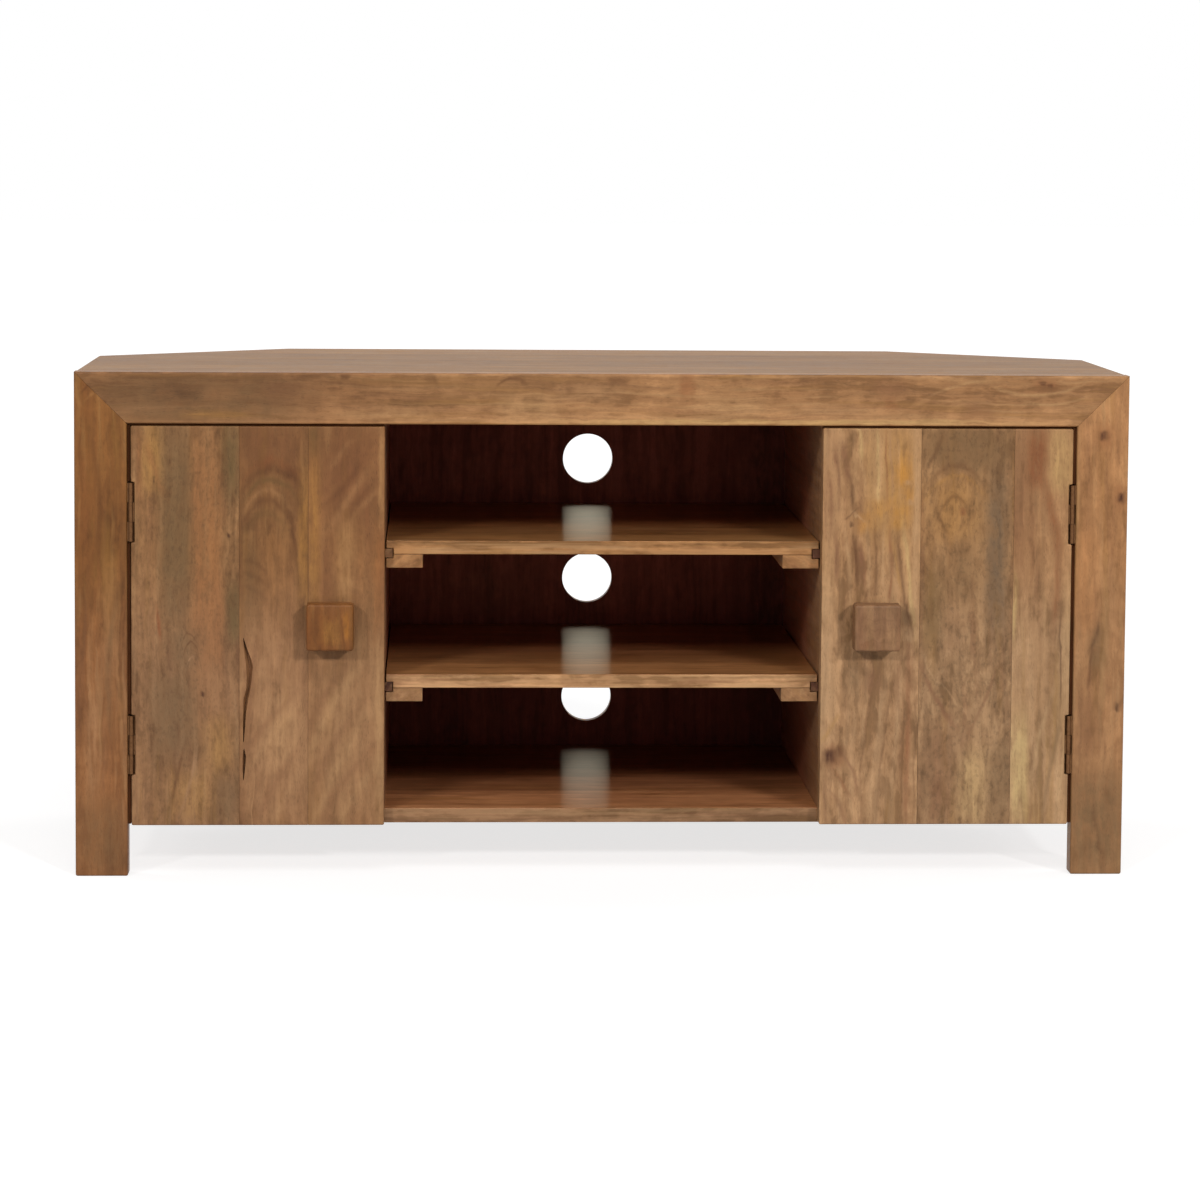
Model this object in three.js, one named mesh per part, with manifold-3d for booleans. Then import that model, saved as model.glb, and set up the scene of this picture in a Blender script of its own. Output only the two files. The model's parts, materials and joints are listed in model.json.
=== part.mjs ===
// Corner television cabinet in solid mango wood: a mitred front frame, two hinged doors with square
// knobs, an open middle bay with two shelves that slide on wooden runners, and cut-back rear corners.
// Lengths are millimetres. X runs along the front to the right, Y from the front to the back, Z up.
// The origin lies on the floor, at the middle of the whole cabinet's box.

import * as THREE from "three";
import { mergeVertices } from "three/addons/utils/BufferGeometryUtils.js";
import Module from "manifold-3d";

// Whole cabinet
const width = 1150;
const depth = 450;
const height = 552;
const sideDepth = 288; // straight side, from the front face to where the diagonal starts
const seam = 0.25; // glue line between two fixed pieces

// Front frame: a rail and two legs, mitred together like a picture frame
const legFace = 57;
const railFace = 56;
const frameThickness = 24;

// Case panels
const topThickness = 22;
const sideThickness = 20;
const partitionThickness = 20;
const bottomThickness = 16;
const backThickness = 12;
const floorClearance = 55; // under the bottom panel
const bayWidth = 478; // open middle bay, between the partitions
const cupboardBackWidth = 123; // what a cupboard keeps of its width at the back, partition included
const rearLegWidth = 57;
const rearLegDepth = 45;
const rearLegPlaning = 14; // planed off its outer corner, seen from the back
const backRebate = 12; // how far the back panel laps onto each rear leg
const cornerBattenLength = 25; // along the side panel, and again along the diagonal
const topBattenSection = 20;

// Cable holes in the back panel
const cableHoleDiameter = 60;
const cableHoleCount = 3;
const cableHoleEndDistance = 131; // lowest hole's middle to the floor, and highest one's to the top
const cableHoleSegments = 40;

// Doors: overlaid on the partitions and the bottom panel, set between the legs of the frame
const doorThickness = 20;
const doorBottomRise = 1; // door's bottom edge above the underside of the bottom panel
const doorTopGap = 2.5;
const doorSideGap = 4; // between a door and its leg
const doorRestGap = 0.5; // between a closed door and the case behind it
const leftInnerBoardWidth = 83; // the board at the free edge, which carries the knob
const rightInnerBoardWidth = 108;
const leftOuterBoardShare = 0.61; // of what the inner board leaves of the door's width
const rightOuterBoardShare = 0.386;

// Knobs: a square block on a narrower square neck, drawn up by one screw from inside the door
const knobSize = 51;
const knobBlockThickness = 22;
const knobNeckSize = 30;
const knobNeckLength = 8;
const knobFromFreeEdge = 58.5; // knob's middle to the door's free edge
const knobHeight = 277.5;
const knobScrewRadius = 2;
const knobScrewReach = 16; // how far the screw goes into the knob
const knobScrewHeadRadius = 4.5;
const knobScrewHeadThickness = 2.5;
const knobScrewClearance = 0.25;
const roundSegments = 24;

// Butt hinges, two on each door, let into the door's edge
const hingeHeight = 64;
const hingeFromTop = 94; // hinge's middle to the door's top
const hingeFromBottom = 88.5;
const hingeNotchDepth = 4;
const hingeNotchEndClearance = 0.75;
const hingeKnuckleCount = 3;
const hingeKnuckleClearance = 0.3;
const hingeBarrelRadius = 2.5;
const hingeBarrelProud = 1; // barrel in front of the front face
const hingePinRadius = 1.2;
const hingePinClearance = 0.05;
const hingeLeafThickness = 1.25;
const hingeLeafWidth = 16.5; // from the pin's axis to the leaf's rear edge
const hingeLeafClearance = 0.5; // between a leaf and the other leaf's barrel

// Magnetic catches, on the partitions inside the cupboards, and their strike plates
const catchHeight = 44;
const catchWidth = 14;
const catchDepth = 15;
const catchFromTop = 60; // catch's middle to the door's top
const catchGap = 0.5;
const strikeThickness = 1.25;
const strikeHeight = 36;
const strikeWidth = 12;

// Sliding shelves: a board with a cleat under each end, grooved to ride on the partitions' runners
const shelfTopHeights = { lower: 219.5, upper: 367 };
const shelfThickness = 15;
const shelfSideGap = 1.5;
const shelfBackGap = 3;
const cleatWidth = 40;
const cleatThickness = 15;
const shelfLipThickness = 8.5; // shelf left above the groove
const grooveHeight = 11;
const grooveDepth = 7.75;
const runnerHeight = 10;
const runnerWidth = 8.5;
const runnerClearance = 0.3; // between a runner's top and the groove it carries
const runnerBackGap = 12;

// Places worked out from the sizes above
const halfWidth = width / 2;
const halfBay = bayWidth / 2;
const halfBack = halfBay + cupboardBackWidth;
const legInner = halfWidth - legFace;
const topUnderside = height - topThickness;
const bottomTop = floorClearance + bottomThickness;
const caseFront = doorThickness + doorRestGap;
const backFront = depth - backThickness;
const railUnderside = height - railFace;
const doorBottom = floorClearance + doorBottomRise;
const doorTop = railUnderside - doorTopGap;
const doorWidth = legInner - doorSideGap - halfBay;
const knobProjection = knobBlockThickness + knobNeckLength;
const hingeSlot = doorSideGap + hingeNotchDepth;
const hingeAxisX = legInner - hingeSlot / 2;
const hingeAxisY = hingeBarrelRadius - hingeBarrelProud;
const hingeMiddles = { lower: doorBottom + hingeFromBottom, upper: doorTop - hingeFromTop };
const sides = { left: -1, right: 1 };

// Direction along the right diagonal towards the back, and its outward normal, in plan
const diagonalAlong = new THREE.Vector2(halfBack - halfWidth, depth - sideDepth).normalize();
const diagonalOutward = new THREE.Vector2(diagonalAlong.y, -diagonalAlong.x);

// On a line parallel to the right diagonal and set inwards by inset: its X at a given Y, and its Y at
// a given X.
function diagonalX(y, inset) {
  const reach = -inset - (y - sideDepth) * diagonalOutward.y;
  return halfWidth + reach / diagonalOutward.x;
}

function diagonalY(x, inset) {
  const reach = -inset - (x - halfWidth) * diagonalOutward.x;
  return sideDepth + reach / diagonalOutward.y;
}

const rearLegOuter = diagonalX(depth, sideThickness + seam) + rearLegPlaning;
const rearLegInner = rearLegOuter - rearLegWidth;

// Materials
function wood(colour, roughness = 0.5) {
  return new THREE.MeshStandardMaterial({ color: colour, roughness, metalness: 0 });
}

function metal(colour, roughness = 0.4) {
  return new THREE.MeshStandardMaterial({ color: colour, roughness, metalness: 1 });
}

const woods = {
  top: 0xa88a70,
  frame: 0x96704c,
  side: 0x8f6b49,
  inside: 0x6b4a30,
  shelf: 0xab8055,
  runner: 0x8a6a4a,
  leftDoor: 0x96704e,
  rightDoor: 0xa98258,
  leftKnob: 0x875a37,
  rightKnob: 0x916e50,
};
const hingeColour = 0x7a6148;
const steelColour = 0xb5b3ad;
const catchColour = 0x6a4a33;

// Solids for joining and cutting
const wasm = await Module();
wasm.setup();

function toSolid(geometry) {
  const bare = geometry.clone();
  bare.deleteAttribute("normal");
  bare.deleteAttribute("uv");
  const merged = mergeVertices(bare);
  return new wasm.Manifold(
    new wasm.Mesh({
      numProp: 3,
      vertProperties: new Float32Array(merged.attributes.position.array),
      triVerts: new Uint32Array(merged.index.array),
    }),
  );
}

function toGeometry(solid) {
  const mesh = solid.getMesh();
  const geometry = new THREE.BufferGeometry();
  geometry.setAttribute("position", new THREE.BufferAttribute(mesh.vertProperties, 3));
  geometry.setIndex(new THREE.BufferAttribute(mesh.triVerts, 1));
  geometry.computeVertexNormals();
  return geometry;
}

// Shapes. Each starts at its own lower corner or axis, and a mesh's position puts it in place.
function shapeOf(outline, holes = []) {
  const shape = new THREE.Shape(outline.map(([u, v]) => new THREE.Vector2(u, v)));
  for (const hole of holes) {
    const path = new THREE.Path();
    path.absarc(hole.u, hole.v, hole.radius, 0, 2 * Math.PI, true);
    shape.holes.push(path);
  }
  return shape;
}

function extruded(shape, length, curveSegments = roundSegments) {
  return new THREE.ExtrudeGeometry(shape, { depth: length, bevelEnabled: false, curveSegments });
}

// An outline in plan (X, Y), raised along Z
function planPrism(outline, rise) {
  return extruded(shapeOf(outline), rise);
}

// An outline seen from the front (X, Z), running back along Y
function frontPrism(outline, run, holes = [], curveSegments = roundSegments) {
  const turn = new THREE.Matrix4().makeBasis(
    new THREE.Vector3(1, 0, 0),
    new THREE.Vector3(0, 0, 1),
    new THREE.Vector3(0, -1, 0),
  );
  const geometry = extruded(shapeOf(outline, holes), run, curveSegments);
  return geometry.applyMatrix4(turn).translate(0, run, 0);
}

// An outline seen from the side (Y, Z), running along X
function sidePrism(outline, run) {
  const turn = new THREE.Matrix4().makeBasis(
    new THREE.Vector3(0, 1, 0),
    new THREE.Vector3(0, 0, 1),
    new THREE.Vector3(1, 0, 0),
  );
  return extruded(shapeOf(outline), run).applyMatrix4(turn);
}

// A box between two corners
function blockBetween(low, high) {
  const size = high.map((value, axis) => value - low[axis]);
  const middle = high.map((value, axis) => (value + low[axis]) / 2);
  return new THREE.BoxGeometry(...size).translate(...middle);
}

function cylinderUp(radius, length, segments = roundSegments) {
  const turn = Math.PI / 2;
  const geometry = new THREE.CylinderGeometry(radius, radius, length, segments);
  return geometry.rotateX(turn).translate(0, 0, length / 2);
}

function rectangle(low, high) {
  return [
    [low[0], low[1]],
    [high[0], low[1]],
    [high[0], high[1]],
    [low[0], high[1]],
  ];
}

// An outline is written once, for the right side. The left one is its mirror image.
function mirrored(outline) {
  return outline.map(([x, y]) => [-x, y]).reverse();
}

function onSide(outline, side) {
  return side < 0 ? mirrored(outline) : outline;
}

function bothSides(rightHalf) {
  return [...rightHalf, ...mirrored(rightHalf)];
}

function addPiece(group, name, geometry, material, x = 0, y = 0, z = 0) {
  const mesh = new THREE.Mesh(geometry, material);
  mesh.name = name;
  mesh.position.set(x, y, z);
  group.add(mesh);
  return mesh;
}

// Front frame
function addFrontFrame(group) {
  const railOutline = bothSides([
    [legInner - seam, railUnderside],
    [halfWidth - seam, height],
  ]);
  addPiece(group, "front_rail", frontPrism(railOutline, frameThickness), wood(woods.frame));
  for (const [name, side] of Object.entries(sides)) {
    const leg = [
      [legInner, 0],
      [halfWidth, 0],
      [halfWidth, height],
      [legInner, railUnderside],
    ];
    const geometry = frontPrism(onSide(leg, side), frameThickness);
    addPiece(group, `${name}_front_leg`, geometry, wood(woods.frame));
  }
}

// Top board, behind the frame and flush with it
function addTop(group) {
  const outline = bothSides([
    [halfWidth, frameThickness + seam],
    [halfWidth, sideDepth],
    [halfBack, depth],
  ]);
  addPiece(group, "top_board", planPrism(outline, topThickness), wood(woods.top), 0, 0, topUnderside);
}

// Side and diagonal panels, mitred where they meet
function addOuterPanels(group) {
  const innerCornerY = diagonalY(halfWidth - sideThickness, sideThickness);
  const rise = topUnderside - seam - floorClearance;
  const sideOutline = [
    [halfWidth - sideThickness, frameThickness + seam],
    [halfWidth, frameThickness + seam],
    [halfWidth, sideDepth],
    [halfWidth - sideThickness, innerCornerY],
  ];
  const gap = diagonalAlong.clone().multiplyScalar(seam);
  const diagonalOutline = [
    [halfWidth + gap.x, sideDepth + gap.y],
    [halfBack, depth],
    [diagonalX(depth, sideThickness), depth],
    [halfWidth - sideThickness + gap.x, innerCornerY + gap.y],
  ];
  for (const [name, side] of Object.entries(sides)) {
    const straight = planPrism(onSide(sideOutline, side), rise);
    const diagonal = planPrism(onSide(diagonalOutline, side), rise);
    addPiece(group, `${name}_side_panel`, straight, wood(woods.side), 0, 0, floorClearance);
    addPiece(group, `${name}_diagonal_panel`, diagonal, wood(woods.side), 0, 0, floorClearance);
  }
}

// Rear legs: posts planed off to the diagonal, and rebated for the back panel
function addRearLegs(group) {
  const inset = sideThickness + seam;
  const outline = [
    [rearLegInner, depth - rearLegDepth],
    [rearLegOuter, depth - rearLegDepth],
    [rearLegOuter, diagonalY(rearLegOuter, inset)],
    [diagonalX(depth, inset), depth],
    [rearLegInner + backRebate, depth],
    [rearLegInner + backRebate, backFront - seam],
    [rearLegInner, backFront - seam],
  ];
  for (const [name, side] of Object.entries(sides)) {
    const geometry = planPrism(onSide(outline, side), topUnderside - seam);
    addPiece(group, `${name}_rear_leg`, geometry, wood(woods.frame));
  }
}

// Bottom panel, between the side panels and notched round the four legs
function addBottom(group) {
  const inset = sideThickness + seam;
  const rearNotchY = depth - rearLegDepth - seam;
  const outline = bothSides([
    [legInner - seam, caseFront],
    [legInner - seam, frameThickness + seam],
    [halfWidth - inset, frameThickness + seam],
    [halfWidth - inset, diagonalY(halfWidth - inset, inset)],
    [rearLegOuter + seam, diagonalY(rearLegOuter + seam, inset)],
    [rearLegOuter + seam, rearNotchY],
    [rearLegInner - seam, rearNotchY],
    [rearLegInner - seam, backFront - seam],
  ]);
  const geometry = planPrism(outline, bottomThickness);
  addPiece(group, "bottom_panel", geometry, wood(woods.inside), 0, 0, floorClearance);
}

// Back panel with a column of cable holes
function addBack(group) {
  const half = rearLegInner + backRebate - seam;
  const pitch = (height - 2 * cableHoleEndDistance) / (cableHoleCount - 1);
  const holes = [];
  for (let index = 0; index < cableHoleCount; index += 1) {
    const rise = cableHoleEndDistance + index * pitch;
    holes.push({ u: 0, v: rise, radius: cableHoleDiameter / 2 });
  }
  const outline = rectangle([-half, floorClearance], [half, topUnderside - seam]);
  const geometry = frontPrism(outline, backThickness, holes, cableHoleSegments);
  addPiece(group, "back_panel", geometry, wood(woods.inside), 0, backFront, 0);
}

// Partitions, cut away at the top where they pass behind the front rail
function addPartitions(group) {
  const outline = [
    [caseFront, bottomTop + seam],
    [backFront - seam, bottomTop + seam],
    [backFront - seam, topUnderside - seam],
    [frameThickness + seam, topUnderside - seam],
    [frameThickness + seam, railUnderside - seam],
    [caseFront, railUnderside - seam],
  ];
  for (const [name, side] of Object.entries(sides)) {
    const geometry = sidePrism(outline, partitionThickness);
    const x = side > 0 ? halfBay : -halfBay - partitionThickness;
    addPiece(group, `${name}_partition`, geometry, wood(woods.inside), x);
  }
}

// Battens inside the cupboards: one in each side corner, and one under the top along each side
function addBattens(group) {
  const inset = sideThickness + seam;
  const outer = halfWidth - inset;
  const cornerY = diagonalY(outer, inset);
  const frontY = cornerY - cornerBattenLength;
  const turned = diagonalAlong.clone().multiplyScalar(cornerBattenLength);
  const corner = [
    [outer, frontY],
    [outer, cornerY],
    [outer + turned.x, cornerY + turned.y],
    [outer + turned.x, frontY],
  ];
  const cornerBase = bottomTop + seam;
  const run = rectangle(
    [outer - topBattenSection, frameThickness + seam],
    [outer, frontY - seam],
  );
  const topBattenBase = topUnderside - seam - topBattenSection;
  for (const [name, side] of Object.entries(sides)) {
    const upright = planPrism(onSide(corner, side), topUnderside - seam - cornerBase);
    const level = planPrism(onSide(run, side), topBattenSection);
    addPiece(group, `${name}_corner_batten`, upright, wood(woods.inside), 0, 0, cornerBase);
    addPiece(group, `${name}_top_batten`, level, wood(woods.inside), 0, 0, topBattenBase);
  }
}

// Runners on the partitions' inner faces, one pair for each shelf
function addRunners(group) {
  const length = backFront - runnerBackGap - caseFront;
  for (const [level, shelfTop] of Object.entries(shelfTopHeights)) {
    const z = shelfTop - shelfLipThickness - runnerClearance - runnerHeight;
    for (const [name, side] of Object.entries(sides)) {
      const near = side * (halfBay - seam);
      const tip = side * (halfBay - runnerWidth);
      const low = [Math.min(near, tip), 0, 0];
      const high = [Math.max(near, tip), length, runnerHeight];
      const geometry = blockBetween(low, high);
      addPiece(group, `${level}_${name}_runner`, geometry, wood(woods.runner), 0, caseFront, z);
    }
  }
}

// Magnetic catches on the cupboard side of the partitions
function addCatches(group) {
  const y = doorThickness + seam + strikeThickness + catchGap;
  const z = doorTop - catchFromTop - catchHeight / 2;
  for (const [name, side] of Object.entries(sides)) {
    const near = side * (halfBay + partitionThickness + seam);
    const far = near + side * catchWidth;
    const low = [Math.min(near, far), 0, 0];
    const high = [Math.max(near, far), catchDepth, catchHeight];
    const material = wood(catchColour);
    addPiece(group, `${name}_catch`, blockBetween(low, high), material, 0, y, z);
  }
}

// Shelf: a board and two cleats. The group's origin is the middle of the board's top front edge.
function makeShelf(level, shelfTop) {
  const shelf = new THREE.Group();
  shelf.position.set(0, caseFront, shelfTop);
  const half = halfBay - shelfSideGap;
  const run = backFront - shelfBackGap - caseFront;
  const grooveWall = half - grooveDepth;
  const board = bothSides([
    [grooveWall, -shelfThickness],
    [grooveWall, -shelfLipThickness],
    [half, -shelfLipThickness],
    [half, 0],
  ]);
  addPiece(shelf, `${level}_shelf_board`, frontPrism(board, run), wood(woods.shelf));
  const cleatTop = -shelfThickness - seam;
  const cleatBottom = -shelfThickness - cleatThickness;
  const cleat = [
    [half - cleatWidth, cleatBottom],
    [half, cleatBottom],
    [half, -shelfLipThickness - grooveHeight],
    [grooveWall, -shelfLipThickness - grooveHeight],
    [grooveWall, cleatTop],
    [half - cleatWidth, cleatTop],
  ];
  for (const [name, side] of Object.entries(sides)) {
    const geometry = frontPrism(onSide(cleat, side), run);
    addPiece(shelf, `${level}_shelf_${name}_cleat`, geometry, wood(woods.shelf));
  }
  return shelf;
}

// A knob with its blind screw hole, standing out along -Y from a door's face at Y zero
function knobGeometry() {
  const block = blockBetween(
    [-knobSize / 2, -knobProjection, -knobSize / 2],
    [knobSize / 2, -knobNeckLength, knobSize / 2],
  );
  const neck = blockBetween(
    [-knobNeckSize / 2, -knobProjection + knobBlockThickness / 2, -knobNeckSize / 2],
    [knobNeckSize / 2, -seam, knobNeckSize / 2],
  );
  const boreRadius = knobScrewRadius + knobScrewClearance;
  const boreLength = knobScrewReach + 2 * knobScrewClearance;
  const bore = new THREE.CylinderGeometry(boreRadius, boreRadius, boreLength, roundSegments);
  bore.translate(0, knobScrewClearance - boreLength / 2, 0);
  return toGeometry(toSolid(block).add(toSolid(neck)).subtract(toSolid(bore)));
}

// A pan-head screw along Y, its head behind the door and its tip in the knob
function knobScrewGeometry() {
  const headBase = doorThickness + seam;
  const profile = [
    [0, -knobScrewReach],
    [knobScrewRadius, -knobScrewReach],
    [knobScrewRadius, headBase],
    [knobScrewHeadRadius, headBase],
    [knobScrewHeadRadius, headBase + knobScrewHeadThickness / 2],
    [knobScrewHeadRadius / 2, headBase + knobScrewHeadThickness],
    [0, headBase + knobScrewHeadThickness],
  ];
  return new THREE.LatheGeometry(
    profile.map(([radius, y]) => new THREE.Vector2(radius, y)),
    roundSegments,
  );
}

// One leaf of a hinge about the pin's axis at X and Y zero, with Z zero at the hinge's foot. The
// leaf lies towards -X or +X by towards, and owns the knuckles numbered in own.
function hingeLeafGeometry(towards, own) {
  const outerX = towards * (hingeSlot / 2 - seam);
  const innerX = outerX - towards * hingeLeafThickness;
  const strapX = (towards * (hingeBarrelRadius + hingePinRadius)) / 2;
  const plateStart = hingeBarrelRadius + hingeLeafClearance;
  const pitch = hingeHeight / hingeKnuckleCount;
  const plate = blockBetween(
    [Math.min(outerX, innerX), plateStart, 0],
    [Math.max(outerX, innerX), hingeLeafWidth, hingeHeight],
  );
  let leaf = toSolid(plate);
  for (const index of own) {
    const low = index * pitch + hingeKnuckleClearance / 2;
    const length = pitch - hingeKnuckleClearance;
    const barrel = cylinderUp(hingeBarrelRadius, length).translate(0, 0, low);
    const strap = blockBetween(
      [Math.min(outerX, strapX), 0, low],
      [Math.max(outerX, strapX), plateStart + hingeLeafThickness, low + length],
    );
    leaf = leaf.add(toSolid(barrel)).add(toSolid(strap));
  }
  const bore = cylinderUp(hingePinRadius + hingePinClearance, hingeHeight);
  return toGeometry(leaf.subtract(toSolid(bore)));
}

function knucklesOf(remainder) {
  const numbers = [...Array(hingeKnuckleCount).keys()];
  return numbers.filter((number) => number % 2 === remainder);
}

// Hinges of one door: the frame's leaf and the pin stay with the leg, the other leaf goes with the door
function addHinges(fixed, door, name, side) {
  for (const [level, middle] of Object.entries(hingeMiddles)) {
    const title = `${name}_${level}_hinge`;
    const x = side * hingeAxisX;
    const z = middle - hingeHeight / 2;
    const frameLeaf = hingeLeafGeometry(side, knucklesOf(0));
    const doorLeaf = hingeLeafGeometry(-side, knucklesOf(1));
    const pin = cylinderUp(hingePinRadius, hingeHeight);
    addPiece(fixed, `${title}_frame_leaf`, frameLeaf, metal(hingeColour), x, hingeAxisY, z);
    addPiece(fixed, `${title}_pin`, pin, metal(steelColour), x, hingeAxisY, z);
    addPiece(door, `${title}_door_leaf`, doorLeaf, metal(hingeColour), 0, 0, z);
  }
}

// Outline, seen from the front, of the board that carries the hinges: notched at each of them. The
// board reaches from its hinge edge at distance near from the axis to distance far.
function hingeBoardOutline(near, far) {
  const notch = near + hingeNotchDepth;
  const halfNotch = hingeHeight / 2 + hingeNotchEndClearance;
  const outline = [
    [near, doorBottom],
    [far, doorBottom],
    [far, doorTop],
    [near, doorTop],
  ];
  for (const middle of [hingeMiddles.upper, hingeMiddles.lower]) {
    outline.push(
      [near, middle + halfNotch],
      [notch, middle + halfNotch],
      [notch, middle - halfNotch],
      [near, middle - halfNotch],
    );
  }
  return outline;
}

// Door: three boards glued edge to edge, a knob with its screw, and a strike plate. The group's
// origin is on the hinge axis at floor level, and inwards is the direction to the free edge.
function makeDoor(name, side, innerWidth, outerShare, boardColour, knobColour) {
  const door = new THREE.Group();
  door.position.set(side * hingeAxisX, hingeAxisY, 0);
  const inwards = -side;
  const face = -hingeAxisY;
  const hingeEdge = doorSideGap - hingeSlot / 2;
  const freeEdge = hingeEdge + doorWidth;
  const knobX = freeEdge - knobFromFreeEdge;
  const secondEnd = freeEdge - innerWidth;
  const firstEnd = hingeEdge + outerShare * (secondEnd - hingeEdge);
  const knobHole = {
    u: inwards * knobX,
    v: knobHeight,
    radius: knobScrewRadius + knobScrewClearance,
  };
  const boards = {
    outer: { outline: hingeBoardOutline(hingeEdge, firstEnd - seam / 2), holes: [] },
    middle: {
      outline: rectangle([firstEnd + seam / 2, doorBottom], [secondEnd - seam / 2, doorTop]),
      holes: [],
    },
    inner: {
      outline: rectangle([secondEnd + seam / 2, doorBottom], [freeEdge, doorTop]),
      holes: [knobHole],
    },
  };
  for (const [place, { outline, holes }] of Object.entries(boards)) {
    const geometry = frontPrism(onSide(outline, inwards), doorThickness, holes);
    addPiece(door, `${name}_door_${place}_board`, geometry, wood(boardColour), 0, face, 0);
  }
  const x = inwards * knobX;
  addPiece(door, `${name}_knob`, knobGeometry(), wood(knobColour), x, face, knobHeight);
  addPiece(door, `${name}_knob_screw`, knobScrewGeometry(), metal(steelColour), x, face, knobHeight);
  const strikeNear = inwards * (freeEdge - partitionThickness - (catchWidth - strikeWidth) / 2 - seam);
  const strikeFar = strikeNear - inwards * strikeWidth;
  const strike = blockBetween(
    [Math.min(strikeNear, strikeFar), 0, 0],
    [Math.max(strikeNear, strikeFar), strikeThickness, strikeHeight],
  );
  const strikeY = face + doorThickness + seam;
  const strikeZ = doorTop - catchFromTop - strikeHeight / 2;
  addPiece(door, `${name}_strike_plate`, strike, metal(steelColour), 0, strikeY, strikeZ);
  return door;
}

// Whole cabinet. Its own front face is at Y zero, and the outer group centres the box in depth.
const cabinet = new THREE.Group();
cabinet.position.y = (knobProjection - depth) / 2;

addFrontFrame(cabinet);
addTop(cabinet);
addOuterPanels(cabinet);
addRearLegs(cabinet);
addBottom(cabinet);
addBack(cabinet);
addPartitions(cabinet);
addBattens(cabinet);
addRunners(cabinet);
addCatches(cabinet);
for (const [level, shelfTop] of Object.entries(shelfTopHeights)) {
  cabinet.add(makeShelf(level, shelfTop));
}
const doorsByName = {
  left: [leftInnerBoardWidth, leftOuterBoardShare, woods.leftDoor, woods.leftKnob],
  right: [rightInnerBoardWidth, rightOuterBoardShare, woods.rightDoor, woods.rightKnob],
};
for (const [name, side] of Object.entries(sides)) {
  const door = makeDoor(name, side, ...doorsByName[name]);
  addHinges(cabinet, door, name, side);
  cabinet.add(door);
}

const cornerCabinet = new THREE.Group();
cornerCabinet.add(cabinet);

export default cornerCabinet;
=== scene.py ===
"""Looks of a corner television cabinet in mango wood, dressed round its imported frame.

Metres, in the frame's own axes: X to the right, Y from front to back, Z up. The pieces' places are
written in millimetres from the front face, the middle of the width and the floor.
"""

import json
import math
from collections import namedtuple

import bmesh
import bpy
from mathutils import Matrix, Vector
from mathutils.bvhtree import BVHTree

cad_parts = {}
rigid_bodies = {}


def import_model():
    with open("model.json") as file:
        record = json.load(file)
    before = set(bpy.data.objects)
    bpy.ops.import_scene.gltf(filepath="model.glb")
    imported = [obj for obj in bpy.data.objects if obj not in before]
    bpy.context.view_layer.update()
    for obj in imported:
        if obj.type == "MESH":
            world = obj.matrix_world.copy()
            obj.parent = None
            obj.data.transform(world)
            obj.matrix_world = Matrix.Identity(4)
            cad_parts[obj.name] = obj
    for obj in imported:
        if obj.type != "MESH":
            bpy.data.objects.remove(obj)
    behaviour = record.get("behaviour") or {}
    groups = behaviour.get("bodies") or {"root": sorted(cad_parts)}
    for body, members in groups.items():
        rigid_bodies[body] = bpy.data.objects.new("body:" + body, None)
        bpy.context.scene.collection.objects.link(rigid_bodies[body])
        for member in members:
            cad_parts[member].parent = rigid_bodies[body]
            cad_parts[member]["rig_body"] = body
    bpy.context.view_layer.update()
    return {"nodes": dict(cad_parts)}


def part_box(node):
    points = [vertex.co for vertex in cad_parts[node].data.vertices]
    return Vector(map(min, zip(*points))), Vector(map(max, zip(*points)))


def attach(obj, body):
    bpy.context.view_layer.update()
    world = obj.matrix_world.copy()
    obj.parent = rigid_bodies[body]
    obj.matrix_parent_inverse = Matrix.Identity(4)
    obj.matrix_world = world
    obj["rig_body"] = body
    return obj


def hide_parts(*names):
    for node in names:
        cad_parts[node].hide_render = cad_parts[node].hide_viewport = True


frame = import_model()

MM = 0.001
FRONT_Y = -0.210
SIDES = (("left", -1), ("right", 1))
NODE_BODY = {name: node["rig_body"] for name, node in frame["nodes"].items()}
AXES = {"X": Vector((1, 0, 0)), "Y": Vector((0, 1, 0)), "Z": Vector((0, 0, 1))}
WHITE = (1.0, 1.0, 1.0, 1.0)


def srgb(red, green, blue):
    """Linear RGBA of a colour given as three 8-bit sRGB numbers."""
    def linear(value):
        share = value / 255
        return share / 12.92 if share <= 0.04045 else ((share + 0.055) / 1.055) ** 2.4
    return (linear(red), linear(green), linear(blue), 1.0)


# Node trees written as arithmetic

class Signal:
    """One output in a node tree, which can be added, multiplied and so on."""

    def __init__(self, web, socket):
        self.web = web
        self.socket = socket

    def __add__(self, other):
        return self.web.math("ADD", self, other)

    def __sub__(self, other):
        return self.web.math("SUBTRACT", self, other)

    def __rsub__(self, other):
        return self.web.math("SUBTRACT", other, self)

    def __mul__(self, other):
        return self.web.math("MULTIPLY", self, other)

    def __truediv__(self, other):
        return self.web.math("DIVIDE", self, other)

    def __abs__(self):
        return self.web.math("ABSOLUTE", self)

    def __pow__(self, other):
        return self.web.math("POWER", self, other)

    __radd__ = __add__
    __rmul__ = __mul__

    def clamped(self):
        return self.web.math("ADD", self, 0.0, clamp=True)

    def smooth(self, low, high):
        """0 below low, 1 above high (or the reverse), and a soft step between."""
        return self.web.made("MapRange", "Result", interpolation_type="SMOOTHSTEP", Value=self,
                             From_Min=low, From_Max=high)


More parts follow.
